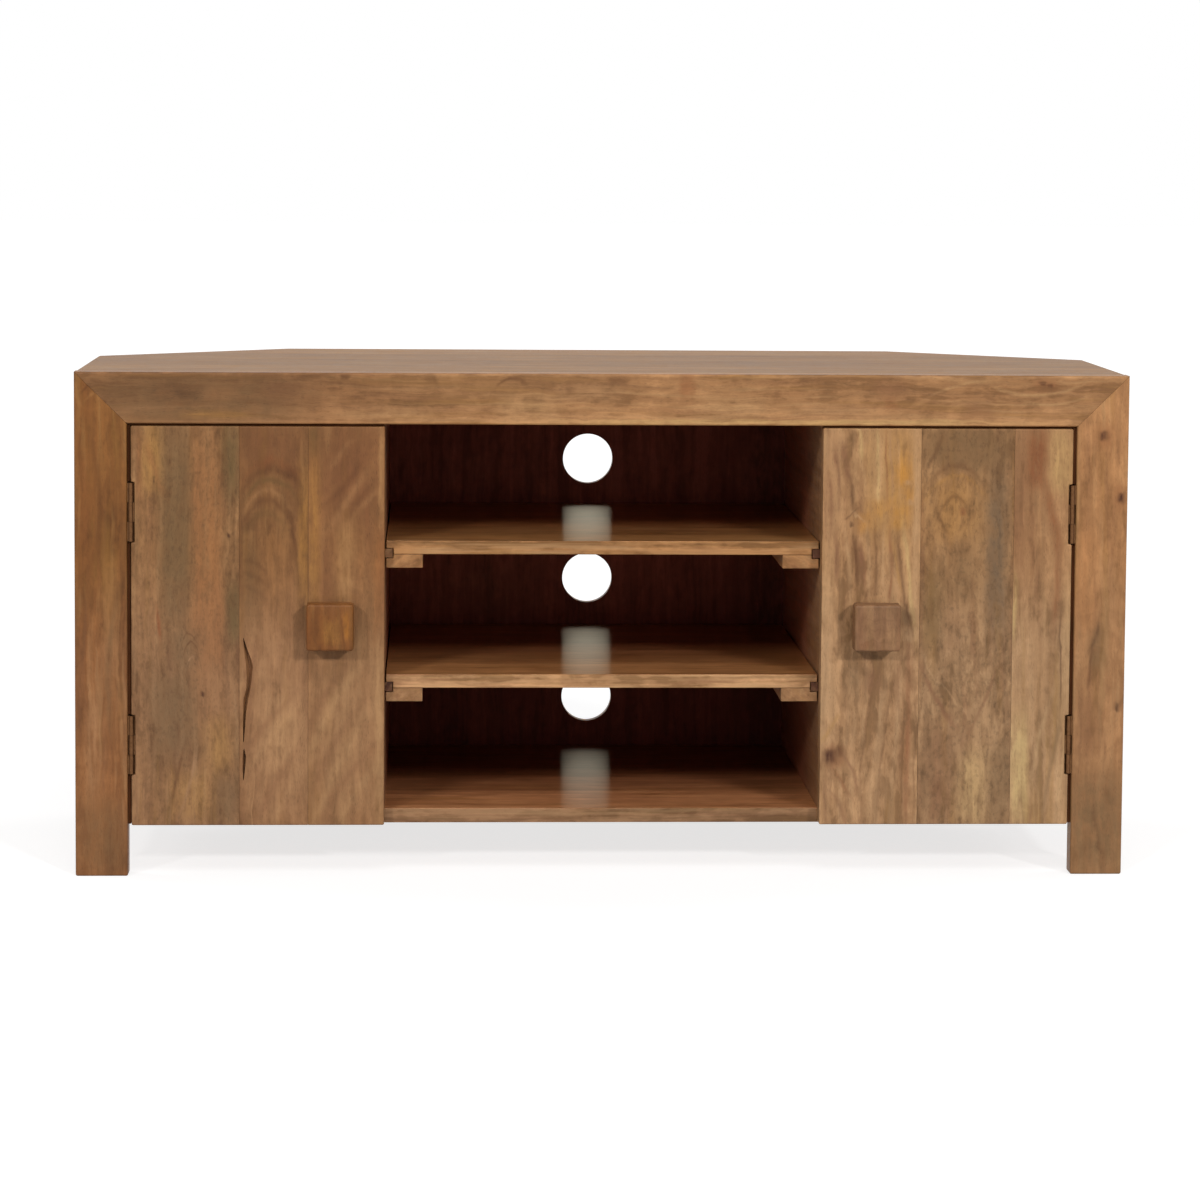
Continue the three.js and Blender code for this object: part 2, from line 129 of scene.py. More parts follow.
class Web:
    """A node tree: a new material's, or one that is handed in."""

    def __init__(self, name=None, tree=None):
        self.material = bpy.data.materials.new(name) if name else None
        if self.material:
            self.material.use_nodes = True
            tree = self.material.node_tree
        self.tree = tree
        self.tree.nodes.clear()

    def node(self, kind, **values):
        """A node. Settings go by their names, and inputs by theirs, with a capital and _ for a space."""
        node = self.tree.nodes.new(kind if kind.startswith("NodeGroup") else "ShaderNode" + kind)
        for name, value in values.items():
            if name[0].isupper():
                self.feed(node.inputs[name.replace("_", " ")], value)
            else:
                setattr(node, name, value)
        return node

    def made(self, kind, output=0, **values):
        """One output of a new node."""
        return Signal(self, self.node(kind, **values).outputs[output])

    def feed(self, socket, value):
        if isinstance(value, Signal):
            self.tree.links.new(value.socket, socket)
        else:
            socket.default_value = value

    def filled(self, node, values, output=0):
        """One output of a node whose inputs are fed in their order."""
        for socket, value in zip(node.inputs, values):
            self.feed(socket, value)
        return Signal(self, node.outputs[output])

    def math(self, operation, *values, clamp=False):
        return self.filled(self.node("Math", operation=operation, use_clamp=clamp), values)

    def largest(self, *values):
        """The largest of three values."""
        return self.math("MAXIMUM", self.math("MAXIMUM", values[0], values[1]), values[2])

    def place(self):
        """Position on the piece, in the frame's axes."""
        return self.made("TexCoord", "Object")

    def dot(self, vector, direction):
        node = self.node("VectorMath", operation="DOT_PRODUCT")
        return self.filled(node, (vector, tuple(direction)), "Value")

    def vector(self, x, y, z):
        return self.filled(self.node("CombineXYZ"), (x, y, z))

    def split(self, vector):
        return [Signal(self, output) for output in self.node("SeparateXYZ", Vector=vector).outputs]

    def noise(self, place, detail=2.0, roughness=0.5, distortion=0.0, line=False):
        """Noise centred on zero, about -1 to 1, in space or along a line."""
        where = dict(noise_dimensions="1D", W=place) if line else dict(Vector=place)
        raw = self.made("TexNoise", **where, Scale=1.0, Detail=detail, Roughness=roughness,
                        Distortion=distortion)
        return self.math("MULTIPLY_ADD", raw, 4.0, -2.0)

    def scattered(self, rate, rate_up=None, **looks):
        """Noise over the piece, with rate spots in a metre and rate_up of them up the height."""
        x, y, z = self.split(self.place())
        return self.noise(self.vector(x * rate, y * rate, z * (rate_up or rate)), **looks)

    def cells(self, vector):
        """Distance to the nearest of scattered points."""
        return self.made("TexVoronoi", "Distance", Vector=vector, Scale=1.0)

    def chance(self, value):
        """Three random numbers from 0 to 1 for each value."""
        return self.split(self.made("TexWhiteNoise", "Color", noise_dimensions="1D", W=value))

    def ramp(self, value, stops):
        node = self.node("ValToRGB")
        node.color_ramp.interpolation = "EASE"
        elements = node.color_ramp.elements
        while len(elements) < len(stops):
            elements.new(0.5)
        for element, (position, colour) in zip(elements, stops):
            element.position = position
            element.color = colour
        return self.filled(node, (value,))

    def mix(self, share, first, second):
        """A mix of two colours."""
        node = self.node("Mix", data_type="RGBA")
        for socket, value in ((0, share), (6, first), (7, second)):
            self.feed(node.inputs[socket], value)
        return Signal(self, node.outputs[2])

    def mixed(self, share, first, second):
        """A mix of two shaders."""
        return self.filled(self.node("MixShader"), (share, first, second))

    def both(self, *shaders):
        """Two shaders' light together."""
        return self.filled(self.node("AddShader"), shaders)

    def scaled(self, colour, factor):
        """Colour times a number."""
        return self.made("VectorMath", operation="SCALE", Vector=colour, Scale=factor)

    def tinted(self, colour, share, first, last):
        """Colour times a tint that goes from first to last with share."""
        tint = self.mix(share, (*first, 1.0), (*last, 1.0))
        return self.filled(self.node("VectorMath", operation="MULTIPLY"), (colour, tint))

    def bump(self, height, depth):
        return self.made("Bump", Height=height, Distance=depth, Strength=1.0)

    def surface(self, **inputs):
        """Ends the tree in one Principled surface."""
        return self.finish(self.made("BsdfPrincipled", **inputs))

    def finish(self, shader, output="OutputMaterial"):
        self.node(output, Surface=shader)
        return self.material

    def brushed_surface(self, colour, normal, shine):
        """Matt colour under a sheen that smears reflections along the depth, as oiled boards do."""
        matt = self.made("BsdfPrincipled", Base_Color=colour, Specular_IOR_Level=0.0, Roughness=0.6,
                         Normal=normal)
        tangent = self.made("Tangent", direction_type="RADIAL", axis="X")
        lobes = [self.made("BsdfAnisotropic", distribution="BECKMANN", Normal=normal, Tangent=tangent,
                           Color=(*[value * share for value in shine], 1.0), Roughness=roughness,
                           Anisotropy=anisotropy)
                 for roughness, anisotropy, share in SHEEN_LOBES]
        return self.finish(self.mixed(self.made("Fresnel", IOR=1.3), matt, self.both(*lobes)))


# Figure of the wood

# A mark in a board's figure: its middle along the grain and across it, half its length and half its
# width, how far it wanders towards its two ends, its colour and strength, how sharp its sides are, and
# whether it crosses the grain
Mark = namedtuple("Mark", "u v run width lean bow colour strength edge across", defaults=(2.0, False))


def patch(u, v, run, width, colour, strength, edge=2.0):
    """A patch of another colour."""
    return Mark(u, v, run, width, 0.0, 0.0, colour, strength, edge)


def streak(*values):
    """A line that follows the grain."""
    return Mark(*values)


def arch(*values):
    """A line that crosses the grain: the peak of a growth ring cut at a slant."""
    return Mark(*values, across=True)


def make_mark_group():
    """Node group that lays one mark over a colour."""
    tree = bpy.data.node_groups.new("mark", "ShaderNodeTree")
    sockets = {"Float": ("Run", "Aside", "Start", "Level", "Half run", "Half width", "Lean", "Bow",
                         "Edge", "Share"),
               "Color": ("Under", "Over")}
    for kind, names in sockets.items():
        for name in names:
            tree.interface.new_socket(name=name, in_out="INPUT", socket_type="NodeSocket" + kind)
    tree.interface.new_socket(name="Result", in_out="OUTPUT", socket_type="NodeSocketColor")
    web = Web(tree=tree)
    given = {output.name: Signal(web, output) for output in web.node("NodeGroupInput").outputs}
    run = (given["Run"] - given["Start"]) / given["Half run"]
    aside = given["Aside"] - given["Level"] - run * (given["Lean"] + run * given["Bow"])
    profile = abs(aside / given["Half width"]) ** given["Edge"]
    fall = web.math("EXPONENT", (profile + abs(run) ** 4.0) * -1.0)
    web.node("NodeGroupOutput", Result=web.mix(fall * given["Share"], given["Under"], given["Over"]))
    return tree


MARK_GROUP = make_mark_group()


def lay_mark(web, mark, u, v, share, colour):
    """Colour with one mark laid over it."""
    run, aside, start, level = (v, u, mark.v, mark.u) if mark.across else (u, v, mark.u, mark.v)
    return web.made("Group", node_tree=MARK_GROUP, Run=run, Aside=aside, Start=start * MM,
                    Level=level * MM, Half_run=mark.run * MM, Half_width=mark.width * MM,
                    Lean=mark.lean * MM, Bow=mark.bow * MM, Edge=mark.edge,
                    Share=share * mark.strength, Under=colour, Over=mark.colour)


# Wood

PLANK_CONTRAST = 0.24  # how far glued boards differ in tone
JOINT_SHADE = 0.3  # how far the glue joints darken
WEAR_GAIN = 0.16  # how far worn arrises lighten
END_CONTRAST = 0.9  # how much stronger the figure is on a board's long edges


def wood(name, grain, across, colours, heart=(0.0, 120.0), seed=0.0, figure=(), planks=None, ring=0.45,
         ribbon=0.7, cloud=0.55, streaks=0.15, curl=0.07, ring_rate=55.0, hues=(0.35, 0.35), pores=0.4,
         roughness=0.45, specular=0.22, wear=None, mottle=0.5, speckle=0.0, relief_depth=0.00012,
         brushed=None, tint=None, depth_light_and_shade=None, edge_tint=None, hue_streaks=0.35):
    """Solid mango wood. grain and across are the directions of the fibres and of the board's width.
    heart is where the tree's middle lies: across the board, and below its surface, in millimetres.
    planks gives the boards' width and where the first one starts, and tint and depth_light_and_shade where a
    tint starts and ends, and its two factors."""
    web = Web(name)
    place = web.place()
    grain_axis = AXES[grain]
    across_axis = AXES[across] if isinstance(across, str) else across
    u = web.dot(place, grain_axis)
    v = web.dot(place, across_axis)
    w = web.dot(place, grain_axis.cross(across_axis))
    board_u, board_v, board_w = u, v, w
    if planks:
        plank_width, first = planks
        index = web.math("FLOOR", (v - first * MM) / (plank_width * MM))
        shift, turn, plank_tone = web.chance(index + seed)
        board_u = u + shift * 3.0
        board_v = (v - first * MM) - index * (plank_width * MM) + turn * 0.25
        board_w = w + shift * 0.4
        off_middle = abs((v - first * MM) / (plank_width * MM) - index - 0.5)
        joint = off_middle.smooth(0.5 - 0.5 / plank_width, 0.5)
    slow = web.noise(web.vector(board_u * 2.4 + seed, board_v * 7.0, board_w * 7.0), detail=1.0)
    quick = web.noise(web.vector(board_u * 30.0 + seed, board_v * 70.0, board_w * 70.0))
    mottles = web.noise(web.vector(board_u * 46.0 + seed, board_v * 105.0, board_w * 105.0),
                        detail=3.0, roughness=0.6, distortion=0.2)
    bent = board_v + slow * 0.007 + quick * 0.0018
    side = bent - heart[0] * MM
    deep = board_w - heart[1] * MM
    radius = web.math("SQRT", side * side + deep * deep)
    angle = web.math("ARCTAN2", side, deep)
    rings = web.noise(radius * ring_rate + seed, detail=3.0, roughness=0.6, line=True)
    fibres = web.noise(web.vector(board_u * 13.0, radius * 330.0 + seed, angle * 45.0),
                       detail=3.0, roughness=0.65)
    ribbons = web.noise(web.vector(board_u * 4.5 + seed, radius * 75.0, angle * 14.0),
                        detail=3.0, roughness=0.62)
    clouds = web.noise(web.vector(board_u * 11.0, board_v * 26.0 + seed, board_w * 26.0),
                       detail=3.0, roughness=0.65, distortion=0.3)
    curls = web.noise(web.vector(board_u * 95.0, bent * 60.0 + seed, board_w * 60.0),
                      roughness=0.6, distortion=0.8)
    strands = web.noise(web.vector(board_u * 7.0, radius * 150.0 + seed, angle * 30.0), roughness=0.6)
    vessels = web.cells(web.vector(board_u * 130.0, bent * 1100.0 + seed, board_w * 1100.0))
    pore = vessels.smooth(0.32, 0.12) * (0.5 + ribbons * 0.3).clamped()

    tone = 0.5 + rings * (ring * 0.5) + ribbons * (ribbon * 0.5) + clouds * (cloud * 0.5)
    tone = tone + mottles * (mottle * 0.5)
    if edge_tint:
        on_edge = abs(web.dot(web.made("TexCoord", "Normal"), across_axis)).smooth(0.4, 0.9)
        tone = 0.5 + (tone - 0.5) * (1.0 + on_edge * END_CONTRAST)
    colour = web.ramp(tone.clamped(), list(zip((0.1, 0.5, 0.9), colours)))
    greyness, warmth = hues
    colour = web.mix(ribbons.smooth(0.1, 0.9) * greyness, colour, GREY)
    colour = web.mix(ribbons.smooth(-0.1, -0.9) * warmth, colour, GOLDEN)
    colour = web.mix(strands.smooth(0.05, 0.9) * hue_streaks, colour, SAND)
    colour = web.mix(strands.smooth(-0.05, -0.9) * hue_streaks, colour, MAUVE)
    broken = (0.8 + fibres * 0.3 + mottles * 0.5).clamped()
    marked_u = u + slow * 0.004 + quick * 0.003 + mottles * 0.0025
    marked_v = v + quick * 0.0011 + clouds * 0.0014 + mottles * 0.0008
    for mark in figure:
        colour = lay_mark(web, mark, marked_u, marked_v, broken, colour)

    shade = 1.0 + fibres * streaks + curls * curl
    if speckle:
        specks = web.noise(web.vector(board_u * 150.0, bent * 230.0 + seed, board_w * 230.0),
                           roughness=0.7)
        shade = shade - specks.smooth(0.0, 0.7) * speckle
    if planks:
        shade = shade + (plank_tone - 0.5) * PLANK_CONTRAST - joint * JOINT_SHADE
    shade = shade * (1.0 - pore * pores)
    if wear:
        shade = shade * (1.0 + worn_edges(web, place, wear) * WEAR_GAIN)
    colour = web.scaled(colour, shade)
    # A tint by facing, for the long edge faces: painted light that sets them lighter or darker than the
    # rest of the board
    if edge_tint:
        colour = web.tinted(colour, on_edge, WHITE[:3], edge_tint)
    if tint:
        start, end, first, last = tint
        colour = web.tinted(colour, u.smooth(start * MM, end * MM), first, last)
    # A tint over the depth from the front face: painted light and shade, where the bay is lit near its
    # opening and in shade further back
    if depth_light_and_shade:
        start, end, first, last = depth_light_and_shade
        share = web.dot(place, AXES["Y"]).smooth(FRONT_Y + start * MM, FRONT_Y + end * MM)
        colour = web.tinted(colour, share, first, last)
    normal = web.bump(fibres * 0.4 - pore * 0.8 + curls * 0.25, relief_depth)
    if brushed:
        return web.brushed_surface(colour, normal, brushed)
    gloss = (roughness + fibres * 0.05 + pore * 0.2 + curls * 0.03).clamped()
    return web.surface(Base_Color=colour, Roughness=gloss, Specular_IOR_Level=specular, Normal=normal)


def worn_edges(web, place, box):
    """1 at the arrises of a box between two corners, falling to 0 a few millimetres away."""
    gaps = [web.math("MINIMUM", position - low, high - position)
            for position, low, high in zip(web.split(place), *box)]
    nearest = web.math("MINIMUM", web.math("MINIMUM", gaps[0], gaps[1]), gaps[2])
    second = gaps[0] + gaps[1] + gaps[2] - nearest - web.largest(*gaps)
    return (second + web.scattered(60.0) * 0.001).smooth(0.005, 0.001)


# Pieces

SHARP = math.radians(20)  # edges bent by more than this are arrises
SHORTEST_ARRIS = 2.5
TOUCHING = 0.6  # faces no farther apart than this are joined


def mesh_copy(node):
    """The solid of a CAD node as a clean mesh: corners merged, flat faces made whole."""
    mesh = bmesh.new()
    mesh.from_mesh(frame["nodes"][node].data)
    bmesh.ops.remove_doubles(mesh, verts=mesh.verts, dist=1e-6)
    bmesh.ops.dissolve_limit(mesh, angle_limit=math.radians(1), verts=mesh.verts, edges=mesh.edges)
    mesh.normal_update()
    return mesh


SURFACES = {}


def surface_of(name):
    if name not in SURFACES:
        mesh = bmesh.new()
        mesh.from_mesh(frame["nodes"][name].data)
        SURFACES[name] = BVHTree.FromBMesh(mesh)
        mesh.free()
    return SURFACES[name]


def is_joined(edge, node):
    """Whether most of an edge lies against a piece of the same body."""
    others = [name for name in frame["nodes"] if name != node and NODE_BODY[name] == NODE_BODY[node]]
    start, end = [vertex.co for vertex in edge.verts]
    shares = (0.1, 0.3, 0.5, 0.7, 0.9)
    touching = 0
    for share in shares:
        point = start.lerp(end, share)
        touching += any(surface_of(name).find_nearest(point, TOUCHING * MM)[0] is not None
                        for name in others)
    return touching > len(shares) / 2


def add_object(name, mesh):
    """An object made of a mesh in the making, which is used up."""
    data = bpy.data.meshes.new(name)
    mesh.to_mesh(data)
    mesh.free()
    piece = bpy.data.objects.new(name, data)
    bpy.context.scene.collection.objects.link(piece)
    return piece


def round_arrises(piece, method, radius, segments):
    """Rounded arrises, and then flat faces with their true normals between them."""
    bevel = piece.modifiers.new("arris", "BEVEL")
    bevel.limit_method = method
    bevel.width = radius * MM
    bevel.segments = segments
    shade_evenly(piece)


def shade_evenly(piece):
    """Flat faces keep their true normals, and only the rounded arrises shade smoothly."""
    even = piece.modifiers.new("even_shading", "WEIGHTED_NORMAL")
    even.mode = "FACE_AREA"
    even.weight = 100
    even.keep_sharp = True


def dress(node, material, arris=1.5, joined=0.0, segments=3, name=None):
    """A copy of a node with its arrises rounded, wearing a material. Radii are in millimetres: arris
    for free edges, and joined for those against a piece of the same body."""
    mesh = mesh_copy(node)
    weights = mesh.edges.layers.float.new("bevel_weight_edge")
    widest = max(arris, joined)
    shortest = min(3 * arris, SHORTEST_ARRIS) * MM
    for edge in mesh.edges:
        if len(edge.link_faces) == 2 and edge.calc_face_angle() > SHARP:
            if edge.calc_length() < shortest:
                radius = 0.0
            else:
                radius = joined if is_joined(edge, node) else arris
            edge[weights] = radius / widest
            edge.smooth = radius > 0
    for face in mesh.faces:
        face.smooth = True
    piece = add_object(name or node + "_wood", mesh)
    round_arrises(piece, "WEIGHT", widest, segments)
    piece.data.materials.append(material)
    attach(piece, NODE_BODY[node])
    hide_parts(node)
    return piece


def use_where(piece, material, chosen):
    """Another material for the faces whose middle is chosen."""
    piece.data.materials.append(material)
    for polygon in piece.data.polygons:
        if chosen(polygon.center):
            polygon.material_index = len(piece.data.materials) - 1


def rounded_blocks(name, boxes, material, body, arris):
    """Blocks with rounded arrises, each between two corners in millimetres, as one piece."""
    mesh = bmesh.new()
    for low, high in boxes:
        size = [abs(end - start) * MM for start, end in zip(low, high)]
        middle = [(start + end) / 2 * MM for start, end in zip(low, high)]
        place = Matrix.Translation((middle[0], FRONT_Y + middle[1], middle[2]))
        bmesh.ops.create_cube(mesh, size=1.0, matrix=place @ Matrix.Diagonal((*size, 1.0)))
    for face in mesh.faces:
        face.smooth = True
    piece = add_object(name, mesh)
    round_arrises(piece, "ANGLE", arris, 2)
    piece.data.materials.append(material)
    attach(piece, body)


def add_plug(mesh, rims):
    """A closed solid between two rims of as many places in millimetres, for cutting."""
    rims = [[mesh.verts.new((x * MM, FRONT_Y + y * MM, z * MM)) for x, y, z in rim] for rim in rims]
    mesh.faces.new(rims[0])
    mesh.faces.new(reversed(rims[1]))
    for index, vertex in enumerate(rims[0]):
        after = (index + 1) % len(rims[0])
        mesh.faces.new((rims[0][after], vertex, rims[1][index], rims[1][after]))


def carve(piece, mesh):
    """Cuts closed meshes out of a piece, after what its modifiers make of it."""
    bmesh.ops.recalc_face_normals(mesh, faces=mesh.faces)
    cutter = add_object("cutter", mesh)
    cut = piece.modifiers.new("cut", "BOOLEAN")
    cut.object = cutter
    cut.solver = "EXACT"
    bpy.context.view_layer.update()
    graph = bpy.context.evaluated_depsgraph_get()
    made = bpy.data.meshes.new_from_object(piece.evaluated_get(graph), depsgraph=graph)
    piece.modifiers.clear()
    piece.data = made
    shade_evenly(piece)
    bpy.data.objects.remove(cutter)


def circle(radius, sides):
    turns = [2 * math.pi * index / sides for index in range(sides)]
    return [(radius * math.cos(turn), radius * math.sin(turn)) for turn in turns]


def make_screw_head():
    """A countersunk head with a cross recess, its rim at Z zero and its face towards +Z, 1 mm in
    radius."""
    mesh = bmesh.new()
    sides = 24
    rings = []
    for radius, height in ((1.0, 0.0), (0.96, 0.1), (0.8, 0.16), (0.45, 0.2)):
        rings.append([mesh.verts.new((x, y, height)) for x, y in circle(radius, sides)])
    arms, hub = circle(0.42, sides), circle(0.16, sides)
    cross = [arms[index] if index % (sides // 4) in (0, 1, sides // 4 - 1) else hub[index]
             for index in range(sides)]
    pit = [mesh.verts.new((x, y, 0.2)) for x, y in cross]
    floor = [mesh.verts.new((vertex.co.x * 0.8, vertex.co.y * 0.8, 0.02)) for vertex in pit]
    rings += [pit, floor]
    for low, high in zip(rings, rings[1:]):
        for index in range(sides):
            after = (index + 1) % sides
            mesh.faces.new((low[index], low[after], high[after], high[index]))
    mesh.faces.new(floor)
    mesh.faces.new(reversed(rings[0]))
    bmesh.ops.recalc_face_normals(mesh, faces=mesh.faces)
    data = bpy.data.meshes.new("screw_head")
    mesh.to_mesh(data)
    mesh.free()
    return data


def add_screws(name, places, towards, radius, material, body):
    """Screw heads at places in millimetres, facing the direction towards, as one piece."""
    mesh = bmesh.new()
    head = make_screw_head()
    turned = Vector(towards).to_track_quat("Z", "Y").to_matrix().to_4x4()
    for index, (x, y, z) in enumerate(places):
        before = len(mesh.verts)
        mesh.from_mesh(head)
        mesh.verts.ensure_lookup_table()
        spin = Matrix.Rotation(math.radians(23 + 67 * index), 4, "Z")
        move = Matrix.Translation((x * MM, FRONT_Y + y * MM, z * MM))
        whole = move @ turned @ spin @ Matrix.Scale(radius * MM, 4)
        bmesh.ops.transform(mesh, matrix=whole, verts=mesh.verts[before:])
    bpy.data.meshes.remove(head)
    piece = add_object(name, mesh)
    piece.data.materials.append(material)
    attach(piece, body)


# Colours

def shades(red, green, blue, contrast=0.36):
    """Dark, middle and light colour of a board, from the middle one."""
    middle = srgb(red, green, blue)
    dark = [value * (1 - contrast * share) for value, share in zip(middle, (1.0, 1.08, 1.2))]
    light = [value * (1 + contrast * share) for value, share in zip(middle, (0.95, 1.1, 1.25))]
    return ((*dark, 1.0), middle, (*light, 1.0))


WOODS = {
    "front_rail": shades(152, 109, 72),
    "left_front_leg": shades(126, 83, 48),
    "right_front_leg": shades(158, 112, 73),
    "top_board": shades(146, 108, 76, 0.2),
    "left_door_outer_board": shades(132, 94, 60),
    "left_door_middle_board": shades(130, 92, 60),
    "left_door_inner_board": shades(134, 94, 61),
    "right_door_inner_board": shades(156, 115, 76),
    "right_door_middle_board": shades(142, 106, 71),
    "right_door_outer_board": shades(158, 117, 80),
    "left_knob": shades(124, 79, 45),
    "right_knob": shades(136, 99, 70),
    "upper_shelf": shades(154, 108, 67),
    "lower_shelf": shades(152, 111, 74),
    "bottom": shades(155, 113, 77),
    "partition": shades(150, 108, 74),
    "side": shades(140, 100, 66),
    "inside": shades(124, 85, 54),
    "back": shades(132, 60, 42, 0.3),
    "runner": shades(128, 88, 56),
    "painted_shade_runner": shades(88, 52, 34),
}

# Colours of the patches and lines in the boards
GOLDEN = srgb(166, 122, 70)
AMBER = srgb(182, 124, 50)
YELLOW = srgb(184, 148, 98)
ORANGE = srgb(152, 102, 62)
RUST = srgb(130, 80, 48)
TAN = srgb(156, 113, 75)
SAND = srgb(174, 134, 93)
PALE = srgb(160, 120, 84)
GREY = srgb(116, 88, 58)
OLIVE = srgb(106, 82, 50)
BLUE = srgb(112, 90, 68)
MAUVE = srgb(122, 82, 55)
UMBER = srgb(84, 50, 27)
KNOT = srgb(58, 26, 14)
